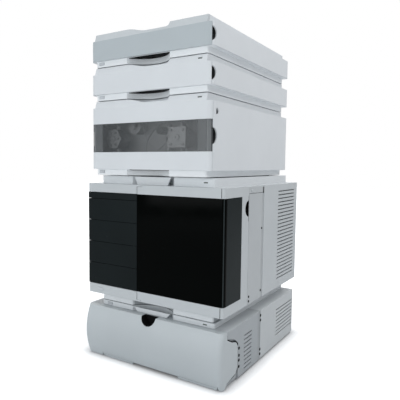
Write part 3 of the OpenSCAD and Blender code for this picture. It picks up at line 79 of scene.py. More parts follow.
def node_of(tree, kind, **settings):
    made = tree.nodes.new(kind)
    for key, value in settings.items():
        if hasattr(made, key):
            setattr(made, key, value)
        else:
            made.inputs[key.replace("_", " ")].default_value = value
    return made

def wire(tree, *pairs):
    for out, into in pairs:
        tree.links.new(out, into)

def fade(tree, value, start, end, low=0.0, high=1.0):
    reach = node_of(tree, "ShaderNodeMapRange",
                    From_Min=start, From_Max=end, To_Min=low, To_Max=high)
    wire(tree, (value, reach.inputs["Value"]))
    return reach.outputs["Result"]

soft_box("soft_box_right", (2.2, -0.7, 2.5), (0, 0, 0.7), width=1.8, height=1.4, watts=23)
soft_box("soft_box_front", (-0.9, -3.0, 0.9), (0, 0, 0.4), width=2.2, height=1.6, watts=29,
         tint=(0.94, 0.98, 1.0))
soft_box("soft_box_above", (0.2, 0.2, 3.0), (0, 0, 0.4), width=2.6, height=2.6, watts=42)
soft_box("soft_box_rear", (-2.0, 2.4, 1.7), (0, 0, 0.5), width=1.8, height=1.4, watts=14)

room = bpy.data.worlds.new("white_room")
room.use_nodes = True
tree = room.node_tree
tree.nodes.clear()
seen = node_of(tree, "ShaderNodeLightPath")
either = node_of(tree, "ShaderNodeMath", operation="MAXIMUM")
also = node_of(tree, "ShaderNodeMath", operation="MAXIMUM")
fill = node_of(tree, "ShaderNodeBackground", Color=(0.95, 0.97, 1.0, 1), Strength=0.42)
paper = node_of(tree, "ShaderNodeBackground", Color=(1, 1, 1, 1), Strength=1.0)
pick = node_of(tree, "ShaderNodeMixShader")
sky = node_of(tree, "ShaderNodeOutputWorld")
wire(tree, (seen.outputs["Is Camera Ray"], either.inputs[0]),
     (seen.outputs["Is Transmission Ray"], either.inputs[1]),
     (either.outputs[0], also.inputs[0]), (seen.outputs["Is Glossy Ray"], also.inputs[1]),
     (also.outputs[0], pick.inputs[0]), (fill.outputs[0], pick.inputs[1]),
     (paper.outputs[0], pick.inputs[2]), (pick.outputs[0], sky.inputs[0]))
bpy.context.scene.world = room

sheet_paint = bpy.data.materials.new("white_sheet")
sheet_paint.use_nodes = True
tree = sheet_paint.node_tree
tree.nodes.clear()
shadow_half_x, shadow_half_y, shadow_start, shadow_end = 0.190, 0.205, 0.004, 0.040
sheet_half, sheet_start, sheet_end, half_lift = 9, 0.15, 1.3, 0.50
matt = node_of(tree, "ShaderNodeBsdfDiffuse", Color=(0.78, 0.79, 0.80, 1))
glow = node_of(tree, "ShaderNodeEmission")
seen = node_of(tree, "ShaderNodeLightPath")
spot = node_of(tree, "ShaderNodeTexCoord")
either_side = node_of(tree, "ShaderNodeVectorMath", operation="ABSOLUTE")
beyond = node_of(tree, "ShaderNodeVectorMath", operation="SUBTRACT")
beyond.inputs[1].default_value = (shadow_half_x, shadow_half_y, 0)
outside = node_of(tree, "ShaderNodeVectorMath", operation="MAXIMUM")
outside.inputs[1].default_value = (0, 0, 0)
away = node_of(tree, "ShaderNodeVectorMath", operation="LENGTH")
whole = node_of(tree, "ShaderNodeMath", operation="ADD")
lift = node_of(tree, "ShaderNodeMath", operation="MULTIPLY")
both = node_of(tree, "ShaderNodeAddShader")
face = node_of(tree, "ShaderNodeOutputMaterial")
# Painted contact shadow: within 4 to 40 mm of the base's outline, the sheet's glow fades to
# nothing.
painted_shadow_fade = fade(tree, away.outputs["Value"], shadow_start, shadow_end, high=half_lift)
far_fade = fade(tree, away.outputs["Value"], sheet_start, sheet_end, high=half_lift)
wire(tree, (spot.outputs["Object"], either_side.inputs[0]),
     (either_side.outputs[0], beyond.inputs[0]), (beyond.outputs[0], outside.inputs[0]),
     (outside.outputs[0], away.inputs[0]), (painted_shadow_fade, whole.inputs[0]),
     (far_fade, whole.inputs[1]), (whole.outputs[0], lift.inputs[1]),
     (seen.outputs["Is Camera Ray"], lift.inputs[0]), (lift.outputs[0], glow.inputs["Strength"]),
     (matt.outputs[0], both.inputs[0]), (glow.outputs[0], both.inputs[1]),
     (both.outputs[0], face.inputs[0]))
sheet_mesh = bpy.data.meshes.new("white_sheet")
sheet_mesh.from_pydata([(x * sheet_half, y * sheet_half, 0)
                        for x, y in ((-1, -1), (1, -1), (1, 1), (-1, 1))], [], [(0, 1, 2, 3)])
sheet_mesh.materials.append(sheet_paint)
white_sheet = bpy.data.objects.new("white_sheet", sheet_mesh)
bpy.context.scene.collection.objects.link(white_sheet)

# Housings of the degassers and the pump: foamed plastic tubs and shells in a cool white,
# moulded with a fine satin grain, clipped together with their edges just broken.
def blank_finish(name):
    finish = bpy.data.materials.new(name)
    finish.use_nodes = True
    tree = finish.node_tree
    place = node_of(tree, "ShaderNodeTexCoord").outputs["Object"]
    return finish, tree, tree.nodes["Principled BSDF"], place

def shaded(tone, share):
    return tuple(part * share for part in tone)

def cloud(tree, place, scale, detail, rough):
    made = node_of(tree, "ShaderNodeTexNoise", Scale=scale, Detail=detail, Roughness=rough)
    wire(tree, (place, made.inputs["Vector"]))
    return made.outputs["Fac"]

def two_tones(tree, place, scale, low, high, detail=3.0):
    ramp = tree.nodes.new("ShaderNodeValToRGB")
    first, last = ramp.color_ramp.elements
    first.position, last.position = 0.35, 0.65
    first.color, last.color = (*low, 1), (*high, 1)
    wire(tree, (cloud(tree, place, scale, detail, 0.6), ramp.inputs["Fac"]))
    return ramp.outputs["Color"]

def spread(tree, place, scale, low, high):
    return fade(tree, cloud(tree, place, scale, 4.0, 0.6), 0.3, 0.7, low, high)

def grain(tree, place, scale, depth, strength, edge=0.0):
    bump = node_of(tree, "ShaderNodeBump", Strength=strength, Distance=depth)
    wire(tree, (cloud(tree, place, scale, 2.0, 0.5), bump.inputs["Height"]))
    if edge > 0:
        soft = node_of(tree, "ShaderNodeBevel", samples=4, Radius=edge)
        wire(tree, (soft.outputs["Normal"], bump.inputs["Normal"]))
    return bump.outputs["Normal"]

def change_over(tree, place, axis, start, end, before, after):
    parts = node_of(tree, "ShaderNodeSeparateXYZ")
    join = node_of(tree, "ShaderNodeMix", data_type="RGBA")
    wire(tree, (place, parts.inputs[0]),
         (fade(tree, parts.outputs[axis], start, end), join.inputs["Factor"]),
         (before, join.inputs["A"]), (after, join.inputs["B"]))
    return join.outputs["Result"]

def moulded_plastic(name, tone, gloss=0.46, edge=0.0009, shade=0.965, texture=1100, shine=0.4,
                    crown_z=None, crown_tone=None, joint_y=None, valley_shade_w=0.02, rear_tone=None):
    finish, tree, skin, place = blank_finish(name)
    mottle, patches, pore_depth, pore_strength = 7.0, 38.0, 0.00012, 0.22
    joint_line, crown_line = 0.0005, 0.0003
    low = shaded(tone, shade)
    body = two_tones(tree, place, mottle, low, tone)
    # Painted shade: over the given width before joint_y the colour darkens towards the joint;
    # behind the joint it takes rear_tone.
    if joint_y:
        painted_valley_shade = two_tones(tree, place, mottle, shaded(low, 0.72), shaded(tone, 0.78))
        body = change_over(tree, place, "Y", joint_y - valley_shade_w, joint_y, body, painted_valley_shade)
        if rear_tone:
            rear = two_tones(tree, place, mottle, shaded(rear_tone, shade), rear_tone)
            body = change_over(tree, place, "Y", joint_y, joint_y + joint_line, body, rear)
    if crown_z:
        crown = two_tones(tree, place, mottle, shaded(crown_tone, shade), crown_tone)
        body = change_over(tree, place, "Z", crown_z - crown_line, crown_z + crown_line,
                           body, crown)
    wire(tree, (body, skin.inputs["Base Color"]),
         (spread(tree, place, patches, gloss - 0.05, gloss + 0.07), skin.inputs["Roughness"]),
         (grain(tree, place, texture, pore_depth, pore_strength, edge), skin.inputs["Normal"]))
    skin.inputs["Specular IOR Level"].default_value = shine
    return finish

def dress(finish, *nodes):
    for name in nodes:
        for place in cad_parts[name].material_slots:
            place.material = finish

dress(moulded_plastic("white_shell", (0.70, 0.73, 0.755)), "degasser_1_cabinet",
      "degasser_2_cabinet", "pump_cabinet", "degasser_2_front_cover", "pump_front_cover")
# The tubs are painted a lighter white than the shells: painted light that lifts the shade in the
# bays under the housings.
dress(moulded_plastic("tub_white_painted_light", (0.83, 0.86, 0.88)),
      "degasser_1_base", "degasser_2_base", "pump_base")

# The top degasser's front cover: the same moulding in a slightly greyer batch of the plastic,
# clipped over the tub's front. Its raised top strip, which tilts up, is painted paler: a
# painted highlight for the light from above.
top_strip_z = 0.784
dress(moulded_plastic("front_shell", (0.455, 0.505, 0.53),
                      crown_z=top_strip_z, crown_tone=(0.55, 0.585, 0.605)),
      "degasser_1_front_cover")

# Housings of the sampler and the detector: tubs, shells, doors and the panel beside the
# sampler's door, moulded in a cool light grey under raised tops in white. The shells are
# screwed to the tubs. Where two mouldings meet, painted shade darkens the surface towards the
# joint, and the sampler's tub and the detector's side carry painted light and shade as well.
grey_tone, top_tone = (0.53, 0.562, 0.58), (0.74, 0.77, 0.79)
sampler_top_z, detector_top_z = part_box("sampler_door")[1][2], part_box("detector_door")[1][2]
just_above, tub_front, groove_back = 0.0001, 0.006, 0.124
grey_shell = moulded_plastic("grey_shell", grey_tone)
dress(grey_shell, "sampler_door", "detector_base")
# Painted light and shade on the sampler's tub: its front edge is painted white where the front lamp
# falls on it, the rest dark where it sits in shade under the sampler, with a band of painted shade
# between.
dress(moulded_plastic("sampler_tub", top_tone, joint_y=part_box("sampler_base")[0][1] + tub_front,
                      valley_shade_w=0.002, rear_tone=(0.36, 0.385, 0.40)), "sampler_base")
# Painted shade on the side panel: it darkens over the 9 mm before its rear edge.
dress(moulded_plastic("side_panel_shell", (0.478, 0.505, 0.521),
                      joint_y=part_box("sampler_side_panel")[1][1], valley_shade_w=0.009),
      "sampler_side_panel")
dress(moulded_plastic("sampler_shell", grey_tone, crown_z=sampler_top_z + just_above,
                      crown_tone=top_tone), "sampler_cabinet")
# Painted shade on the detector's side: its front part is painted darker than the grey of the rear,
# and darker still over the 20 mm before the groove.
dress(moulded_plastic("detector_shell", (0.378, 0.406, 0.426),
                      crown_z=detector_top_z + just_above, crown_tone=top_tone,
                      joint_y=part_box("detector_door")[1][1] + groove_back,
                      rear_tone=(0.53, 0.56, 0.575)), "detector_cabinet")
dress(moulded_plastic("detector_door_shell", (0.50, 0.54, 0.56)), "detector_door")

# Grips in the sides of the narrow modules: black cups set in behind the half-round openings
# in the walls, painted shade that stands in for the shade inside the grips.
dark_plastic = moulded_plastic("dark_plastic", (0.022, 0.023, 0.025),
                               gloss=0.42, edge=0.0006, shade=0.8)
dress(dark_plastic, "grip_cups")

# Feet: black rubber pads pressed into the tubs, thick under the stack and thin between modules.
# They keep the modules from sliding on each other.
dress(moulded_plastic("rubber", (0.014, 0.014, 0.015), gloss=0.75, edge=0.0004, shade=0.7,
                      texture=500), "rubber_feet")

# Power buttons and status lamps: grey caps that travel in their holes, and the ends of clear
# light guides that stay dark while the stack is off.
dress(moulded_plastic("button_grey", (0.55, 0.58, 0.61), gloss=0.4, edge=0.0005),
      "degasser_1_power_button", "degasser_2_power_button", "pump_power_button",
      "sampler_power_button", "detector_power_button")
dress(moulded_plastic("lamp_lens", (0.10, 0.12, 0.11), gloss=0.2, edge=0.0003), "status_lamps")

# Housing screws: zinc-plated pan heads with a driver recess, one near each corner of the
# back of every module, where the shell is screwed to the tub and to the top.
def corners(node):
    low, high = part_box(node)
    return Vector(low) * 1000, Vector(high) * 1000

def close_rings(shape, rings):
    for near, far in zip(rings, rings[1:]):
        for i in range(len(near)):
            j = (i + 1) % len(near)
            shape.faces.new((near[i], near[j], far[j], far[i]))
    shape.faces.new(rings[0][::-1])
    shape.faces.new(rings[-1])

def round_ring(shape, middle, side, up, radius, sides):
    return [shape.verts.new(middle + (side * math.cos(a) + up * math.sin(a)) * radius)
            for a in (2 * math.pi * i / sides for i in range(sides))]

def turned(shape, spot, out, profile, sides=24):
    out = Vector(out).normalized()
    side = out.orthogonal().normalized()
    up = out.cross(side)
    close_rings(shape, [round_ring(shape, Vector(spot) + out * height, side, up, radius, sides)
                        for radius, height in profile])

def fit(shape, name, finish, body):
    bmesh.ops.scale(shape, vec=(0.001, 0.001, 0.001), verts=shape.verts)
    fixed_order = Vector((1.0, 31.7, 977.3))
    shape.verts.sort(key=lambda corner: corner.co.dot(fixed_order))
    shape.faces.sort(key=lambda facet: facet.calc_center_median().dot(fixed_order))
    bmesh.ops.recalc_face_normals(shape, faces=shape.faces)
    skin = bpy.data.meshes.new(name)
    shape.to_mesh(skin)
    shape.free()
    skin.materials.append(finish)
    for facet in skin.polygons:
        facet.use_smooth = True
    skin.set_sharp_from_angle(angle=math.radians(32))
    piece = bpy.data.objects.new(name, skin)
    bpy.context.scene.collection.objects.link(piece)
    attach(piece, body)

def brushed_metal(name, tone, along, rough=0.28):
    finish, tree, skin, place = blank_finish(name)
    stretch = node_of(tree, "ShaderNodeMapping", Scale=along)
    wire(tree, (place, stretch.inputs["Vector"]))
    lines = stretch.outputs["Vector"]
    wire(tree, (two_tones(tree, lines, 1.0, shaded(tone, 0.86), tone, 5.0),
                skin.inputs["Base Color"]),
         (spread(tree, lines, 1.0, rough, rough + 0.16), skin.inputs["Roughness"]),
         (grain(tree, lines, scale=1.0, depth=0.0001, strength=0.15, edge=0.0005),
          skin.inputs["Normal"]))
    skin.inputs["Metallic"].default_value = 1.0
    return finish

zinc = brushed_metal("zinc_plate", (0.62, 0.63, 0.62), along=(260, 260, 260), rough=0.34)
pan_head = [(3.4, -0.4), (3.4, 0.7), (2.9, 1.5), (1.9, 1.9), (1.5, 1.9), (1.3, 0.8)]
from_side, from_floor, from_top = 12, 10, 25
crown_inset, crown_step, crown_drop = 50, 4.5, 10
screws = bmesh.new()
for cabinet in ("degasser_1_cabinet", "degasser_2_cabinet", "pump_cabinet", "detector_cabinet"):
    low, high = corners(cabinet)
    for x in (low.x + from_side, high.x - from_side):
        for z in (low.z + from_floor, high.z - from_top):
            turned(screws, (x, high.y, z), (0, 1, 0), pan_head)
low, high = corners("sampler_cabinet")
for x in (low.x + crown_inset, high.x - crown_inset):
    turned(screws, (x, high.y - crown_step, high.z - crown_drop), (0, 1, 0), pan_head)
fit(screws, "housing_screws", zinc, "root")

# Shade in the tube bays: black strips under the housing, over the bays of the narrow modules
# through which tubing is led in and out; painted shade for the shade in the slot under the lip.
# Near-black finish for the pieces that stand in for shade in recesses, slots, gaps and holes
# (painted shade), and for the black trim on the sampler's side.
black_and_painted_shade = moulded_plastic("black_and_painted_shade", (0.003, 0.003, 0.0032), gloss=0.7, edge=0.0003,
                            shade=0.8, texture=700, shine=0.08)
bay_r, bay_depth, bay_half_angle = 74.06, 32, 51.5
pad_r, pad_bottom, pad_top = bay_r - 0.1, 12.6, 13.8
pad_turns = [math.radians(bay_half_angle * (i / 12 - 1)) for i in range(25)]
for module in ("degasser_1", "degasser_2", "pump"):
    low, high = corners(module + "_base")
    bay_x, bay_y = (low.x + high.x) / 2, low.y + 1 + bay_depth - bay_r
    bay_shade_mesh = bmesh.new()
    close_rings(bay_shade_mesh, [[bay_shade_mesh.verts.new((bay_x + pad_r * math.sin(a), bay_y + pad_r * math.cos(a),
                                        low.z + z)) for a in pad_turns]
                       for z in (pad_bottom, pad_top)])
    fit(bay_shade_mesh, module + "_bay_shade_strip", black_and_painted_shade, "root")

# Vent filters: sheets of grey open foam clipped behind the louvres in the sides of the sampler
# and the detector, so that the slots don't look straight into the housing.
def rounded_block(shape, low, high, soft=0.0):
    low, high = Vector(low), Vector(high)
    place = Matrix.Translation((low + high) / 2) @ Matrix.Diagonal((*(high - low), 1))
    made = bmesh.ops.create_cube(shape, size=1.0, matrix=place)
    if soft > 0:
        edges = list(dict.fromkeys(e for corner in made["verts"] for e in corner.link_edges))
        bmesh.ops.bevel(shape, geom=edges, offset=soft, segments=2, profile=0.6, affect="EDGES")

filter_foam = moulded_plastic("filter_foam", (0.17, 0.18, 0.18), gloss=0.8, edge=0.0002,
                              shade=0.7, texture=300)
foam_outside, foam_inside, foam_soft = 3.4, 5.2, 0.3
louvre_fields = (("sampler_cabinet", -152, -24, -278, -36),
                 ("detector_cabinet", -330, -283, -125, -42),
                 ("detector_cabinet", -133, -5, -112, -35))
behind_drawers = corners("drawer_frame")[1].y + 1
filters = bmesh.new()
for cabinet, y0, y1, z0, z1 in louvre_fields:
    low, high = corners(cabinet)
    bottom, top = high.z + z0, high.z + z1
    rounded_block(filters, (high.x - foam_inside, high.y + y0, bottom),
                  (high.x - foam_outside, high.y + y1, top), foam_soft)
    left_y0 = high.y + y0 if cabinet == "detector_cabinet" else behind_drawers
    rounded_block(filters, (low.x + foam_outside, left_y0, bottom),
                  (low.x + foam_inside, high.y + y1, top), foam_soft)
fit(filters, "vent_filters", filter_foam, "root")

# Main boards: green glass-epoxy circuit boards with their chips and connectors, screwed to
# posts in the tub of every module.
dress(moulded_plastic("solder_mask", (0.02, 0.12, 0.05), gloss=0.3, edge=0.0002), "main_boards")

# Power inlets: black moulded inlets with three blades in the well of each, snapped in behind
# the back walls.
dress(dark_plastic, "power_inlets")

# Interface panels: bright steel plates behind the openings in the backs, with two data
# sockets, a network socket and two round sockets whose black inserts hold gilt contacts.
sheet_steel = brushed_metal("sheet_steel", (0.56, 0.57, 0.58), along=(12, 12, 900))
gilt = brushed_metal("gilt", (0.78, 0.60, 0.28), along=(400, 400, 400), rough=0.2)
dress(sheet_steel, "interface_panels")

panel_spots = (("degasser_1_cabinet", 102.5, 25), ("degasser_2_cabinet", 102.5, 25),
               ("pump_cabinet", 232.5, 84), ("sampler_cabinet", 116, 90),
               ("detector_cabinet", 243, 74))
panel_behind, data_sockets, network_socket, round_sockets = 3, (5, 42), -23, (-40, -53)
data_half_w, data_half_h, network_half_w, network_half_h = 7.6, 3.4, 5.8, 4.3
pin_pitch, strip_pitch, round_pin_circle = 2.7, 1.1, 2
round_insert = [(3.5, 0), (3.5, 0.9), (3.2, 1.2)]
data_pin = [(0.5, 0), (0.5, 0.7), (0.2, 1.0)]
round_pin = [(0.4, 0), (0.4, 0.9), (0.2, 1.1)]
inserts, contacts = bmesh.new(), bmesh.new()
for cabinet, in_from_left, rise in panel_spots:
    low, high = corners(cabinet)
    x, y, z = low.x + in_from_left, high.y - panel_behind, low.z + rise
    for dx in data_sockets:
        rounded_block(inserts, (x + dx - data_half_w, y - 0.2, z - data_half_h),
                      (x + dx + data_half_w, y + 1.5, z + data_half_h), soft=0.6)
        for i in range(9):
            column, row = (i % 5 - 2, 1.4) if i < 5 else (i % 5 - 1.5, -1.4)
            turned(contacts, (x + dx + column * pin_pitch, y + 1.4, z + row),
                   (0, 1, 0), data_pin, sides=8)
    strip_x = x + network_socket
    rounded_block(inserts, (strip_x - network_half_w, y - 0.2, z - network_half_h),
                  (strip_x + network_half_w, y + 0.4, z + network_half_h), soft=0.2)
    for i in range(8):
        contact_x = strip_x + (i - 3.5) * strip_pitch
        rounded_block(contacts, (contact_x - 0.3, y + 0.3, z + 0.6),
                      (contact_x + 0.3, y + 1.2, z + 4.2), soft=0.1)
    for dx in round_sockets:
        turned(inserts, (x + dx, y - 0.2, z), (0, 1, 0), round_insert)
        for i in range(5):
            a = math.radians(30 + 60 * i)
            turned(contacts, (x + dx + round_pin_circle * math.cos(a), y + 0.9,
                              z + round_pin_circle * math.sin(a)), (0, 1, 0), round_pin, sides=8)
fit(inserts, "socket_inserts", dark_plastic, "root")
fit(contacts, "socket_contacts", gilt, "root")

# Fans: black axial fans behind the grilles of the pump, the sampler and the detector, each a
# seven-bladed rotor in a square frame that is screwed to the wall.
dress(dark_plastic, "fan_frames", "pump_fan_rotor", "sampler_fan_rotor", "detector_fan_rotor")

# Degassing chambers: four flat moulded chambers in a row on each tub's floor, joined by short
# clear tubes to the manifold in front of them, whose outlets are closed by black plugs. A
# rubber hose leads from the chambers to the vacuum pump beside them.
def skin_route(shape, route, radius, sides=12, steps=7):
    route = [Vector(point) for point in route]
    ends = [route[0] * 2 - route[1], *route, route[-1] * 2 - route[-2]]
    path = []
    for a, b, c, d in zip(ends, ends[1:], ends[2:], ends[3:]):
        for i in range(steps):
            t = i / steps
            path.append((b * 2 + (c - a) * t + (a * 2 - b * 5 + c * 4 - d) * t ** 2
                         + (b * 3 - a - c * 3 + d) * t ** 3) / 2)
    path.append(route[-1])
    side = (path[1] - path[0]).orthogonal().normalized()
    rings = []
    for i, spot in enumerate(path):
        along = (path[min(i + 1, len(path) - 1)] - path[max(i - 1, 0)]).normalized()
        side = (side - along * side.dot(along)).normalized()
        rings.append(round_ring(shape, spot, side, along.cross(side), radius, sides))
    close_rings(shape, rings)

def clear_tube_finish(name, tone, cover):
    finish, tree, skin, place = blank_finish(name)
    wire(tree, (two_tones(tree, place, 30.0, shaded(tone, 0.9), tone), skin.inputs["Base Color"]),
         (spread(tree, place, scale=60.0, low=0.22, high=0.34), skin.inputs["Roughness"]))
    skin.inputs["Alpha"].default_value = cover
    return finish

natural_tube = clear_tube_finish("natural_tube", (0.72, 0.74, 0.74), cover=0.75)
rubber_hose = moulded_plastic("rubber_hose", (0.03, 0.03, 0.032), gloss=0.6, edge=0.0002,
                              shade=0.8, texture=700)
dress(moulded_plastic("chamber_plastic", (0.66, 0.66, 0.62), gloss=0.4),
      "degasser_1_chambers", "degasser_2_chambers")
dress(dark_plastic, "degasser_1_vacuum_pump", "degasser_2_vacuum_pump")
chamber_pitch, chamber_ports = 43, (10.5, 31.5)
manifold_gap, manifold_deep, manifold_tall = 8.5, 6, 24
port_nut = [(4.6, 0), (4.6, 6), (3.4, 7), (2.2, 7)]
outlet_plug = [(2.8, 0), (2.8, 5), (4.4, 5), (4.4, 8), (3.6, 9)]
tubing_r, hose_r = 1.6, 3.2
for number in (1, 2):
    low, high = corners(f"degasser_{number}_chambers")
    pump_low, pump_high = corners(f"degasser_{number}_vacuum_pump")
    ports, tubes, hose = bmesh.new(), bmesh.new(), bmesh.new()
    port_z = (low.z + high.z) / 2
    row_y = low.y - manifold_gap
    rounded_block(ports, (low.x, row_y - manifold_deep, low.z),
                  (high.x, row_y, low.z + manifold_tall), soft=1.0)
    for i in range(8):
        x = low.x + chamber_pitch * (i // 2) + chamber_ports[i % 2]
        turned(ports, (x, low.y + 3, port_z), (0, -1, 0), port_nut, sides=6)
        turned(ports, (x, row_y - 3, low.z + 23.5), (0, 0, 1), outlet_plug, sides=6)
        skin_route(tubes, [(x, low.y - 2, port_z), (x, low.y - 5, port_z + 0.3),
                           (x, row_y + 0.5, port_z)], tubing_r)
    pipe_z = pump_low.z + 17
    pipe_x = (pump_low.x + pump_high.x) / 2 + 9
    skin_route(hose, [(pipe_x, pump_low.y + 6, pipe_z), (pipe_x, pump_low.y - 6, pipe_z),
                      (pipe_x + 8, pump_low.y - 16, pipe_z),
                      (low.x - 26, pump_low.y - 12, port_z + 4),
                      (low.x - 16, low.y + 26, port_z + 2), (low.x + 1, low.y + 32, port_z)],
               hose_r, sides=16)
    fit(ports, f"degasser_{number}_ports", dark_plastic, "root")
    fit(tubes, f"degasser_{number}_tubes", natural_tube, "root")
    fit(hose, f"degasser_{number}_vacuum_hose", rubber_hose, "root")

# Pump chassis and drive: a folded steel panel with the leak tray at its foot, screwed in front
# of the cast aluminium spindle housings.
def cast_metal(name, tone):
    finish, tree, skin, place = blank_finish(name)
    wire(tree, (two_tones(tree, place, 90.0, shaded(tone, 0.85), tone, 5.0),
                skin.inputs["Base Color"]),
         (spread(tree, place, scale=200.0, low=0.45, high=0.62), skin.inputs["Roughness"]),
         (grain(tree, place, scale=420.0, depth=0.0003, strength=0.35, edge=0.0008),
          skin.inputs["Normal"]))
    skin.inputs["Metallic"].default_value = 0.85
    return finish

aluminium = cast_metal("cast_metal", (0.42, 0.44, 0.46))
dress(sheet_steel, "pump_chassis")
dress(aluminium, "pump_drive")

# Pump heads and their plungers: turned steel heads held by socket screws, each with an inlet
# valve below and an outlet valve above, both hexagonal.
turned_steel = brushed_metal("turned_steel", (0.66, 0.67, 0.68), along=(700, 60, 700), rough=0.24)
cap_head = [(3.1, -0.5), (3.1, 2.6), (2.8, 3.0), (1.7, 3.0), (1.6, 1.4)]
centre_plug = [(7, -0.5), (7, 1.4), (6.4, 2), (3, 2), (2.6, 0.9)]
outlet_valve = [(6.6, 0), (6.6, 7), (5.8, 8), (3.4, 8), (3.4, 11), (2.0, 12.5)]
inlet_valve = [(8.2, 0), (8.2, 9), (7.2, 10), (3.6, 10), (3.6, 13), (2.2, 14)]
dress(turned_steel, "pump_head_left", "pump_head_right", "plunger_left", "plunger_right")
left_low, left_high = corners("pump_head_left")
right_low, right_high = corners("pump_head_right")
head_z = (left_low.z + left_high.z) / 2
left_x, right_x = (left_low.x + left_high.x) / 2, (right_low.x + right_high.x) / 2
valve_y = (left_low.y + left_high.y) / 2 - 2
bolt_reach = 16
bolts, valves = bmesh.new(), bmesh.new()
for i in range(6):
    a = math.radians(60 * i)
    turned(bolts, (left_x + bolt_reach * math.cos(a), left_low.y,
                   head_z + bolt_reach * math.sin(a)), (0, -1, 0), cap_head)
for dx in (-bolt_reach, bolt_reach):
    for dz in (-bolt_reach, bolt_reach):
        turned(bolts, (right_x + dx, right_low.y, head_z + dz), (0, -1, 0), cap_head)
for x in (left_x, right_x):
    turned(bolts, (x, left_low.y - (2 if x > 0 else 0), head_z), (0, -1, 0), centre_plug, sides=32)
    turned(valves, (x, valve_y, left_high.z - 1), (0, 0, 1), outlet_valve, sides=6)
    turned(valves, (x, valve_y, left_low.z + 1), (0, 0, -1), inlet_valve, sides=6)
fit(bolts, "head_screws", turned_steel, "root")
fit(valves, "head_valves", turned_steel, "root")

# Purge valve, damper and mixer: a fluted black knob on a small steel valve block, a round
# damper and an upright mixer, all bolted to the panel.
dress(dark_plastic, "purge_knob")
dress(turned_steel, "pump_damper", "pump_mixer")
knob_low, knob_high = corners("purge_knob")
damper_low, damper_high = corners("pump_damper")
mixer_low, mixer_high = corners("pump_mixer")
panel_face = left_high.y
knob_x, knob_z = (knob_low.x + knob_high.x) / 2, (knob_low.z + knob_high.z) / 2
damper_x, damper_z = (damper_low.x + damper_high.x) / 2, (damper_low.z + damper_high.z) / 2
mixer_x, mixer_y = (mixer_low.x + mixer_high.x) / 2, mixer_low.y + 9
block_z, block_deep, union_y, damper_port_y = knob_z - 1, 14, panel_face - 7, panel_face - 13
block_sides = ((-12, -5.6, -14, 14), (5.6, 12, -14, 14),
               (-5.6, 5.6, 5.6, 14), (-5.6, 5.6, -14, -5.6))
fluidics = bmesh.new()
for x0, x1, z0, z1 in block_sides:
    rounded_block(fluidics, (knob_x + x0, panel_face - block_deep, block_z + z0 + 1),
                  (knob_x + x1, panel_face - 0.2, block_z + z1 + 1), soft=0.2)
union_nut = [(4.6, -1), (4.6, 6), (4.0, 6.8), (1.9, 6.8), (1.7, 9.5)]
damper_plug = [(5, -0.5), (5, 0.8), (4.4, 1.4), (2, 1.4), (1.8, 0.5)]
for spot, out in (((damper_x - 8, damper_port_y, damper_z + 17), (0, 0, 1)),
                  ((damper_x + 8, damper_port_y, damper_z + 17), (0, 0, 1)),
                  ((mixer_x, mixer_y, mixer_high.z), (0, 0, 1)),
                  ((mixer_x, mixer_y, mixer_low.z), (0, 0, -1)),
                  ((knob_x, union_y, block_z - 13), (0, 0, -1)),
                  ((knob_x - 12, union_y, block_z + 6), (-1, 0, 0))):
    turned(fluidics, spot, out, union_nut, sides=6)
turned(fluidics, (damper_x, damper_low.y, damper_z), (0, -1, 0), damper_plug, sides=6)
fit(fluidics, "purge_block_and_unions", turned_steel, "root")

# Capillaries of the pump: thin bright steel tube bent from head to damper to head, to the
# mixer and to the purge valve, and clear tubing for the solvent and for the waste. Hexagonal
# nuts hold the ends.
capillary_r = 0.8
high_z, low_z = left_high.z + 10, left_low.z - 11
near_pane = left_low.y - 3
head_to_damper = [
    (left_x, valve_y, high_z), (left_x + 3, valve_y - 2, high_z + 9),
    (left_x + 20, near_pane + 6, high_z + 14), (damper_x - 14, near_pane + 12, damper_z + 38),
    (damper_x - 8, damper_port_y, damper_z + 25)]
damper_to_head = [
    (damper_x + 8, damper_port_y, damper_z + 25), (damper_x + 14, near_pane + 14, damper_z + 34),
    (damper_x + 38, near_pane, damper_z + 6), (damper_x + 56, near_pane - 2, damper_z - 40),
    (right_x - 30, near_pane - 2, low_z + 2), (right_x - 8, valve_y - 8, low_z - 9),
    (right_x, valve_y, low_z - 1)]
head_to_mixer = [
    (right_x, valve_y, high_z), (right_x - 3, valve_y - 4, high_z + 9),
    (right_x - 20, near_pane + 4, high_z + 12), (mixer_x + 2, near_pane + 6, high_z - 6),
    (mixer_x, mixer_y - 4, mixer_high.z + 22), (mixer_x, mixer_y, mixer_high.z + 7)]
mixer_to_purge = [
    (mixer_x, mixer_y, mixer_low.z - 7), (mixer_x - 3, mixer_y - 5, mixer_low.z - 15),
    (mixer_x - 20, near_pane + 4, mixer_low.z - 12), (knob_x - 3, near_pane + 2, mixer_low.z + 18),
    (knob_x, panel_face - 12, block_z - 30), (knob_x, union_y, block_z - 21)]
solvent_in = [
    (left_x - 34, near_pane + 4, high_z + 22), (left_x - 28, near_pane - 1, high_z - 4),
    (left_x - 29, near_pane, head_z), (left_x - 25, near_pane + 4, low_z + 2),
    (left_x - 9, valve_y - 6, low_z - 9), (left_x, valve_y, low_z - 2)]
waste_out = [
    (knob_x - 20, union_y, block_z + 6), (knob_x - 32, panel_face - 14, block_z + 2),
    (knob_x - 38, near_pane + 10, block_z - 30), (knob_x - 36, near_pane + 10, mixer_low.z - 2),
    (knob_x - 37, near_pane + 12, mixer_low.z - 12)]
capillaries, solvent_lines = bmesh.new(), bmesh.new()
for route in (head_to_damper, damper_to_head, head_to_mixer, mixer_to_purge):
    skin_route(capillaries, route, capillary_r, sides=10)
for route in (solvent_in, waste_out):
    skin_route(solvent_lines, route, tubing_r)
fit(capillaries, "pump_capillaries", turned_steel, "root")
fit(solvent_lines, "pump_solvent_lines", natural_tube, "root")

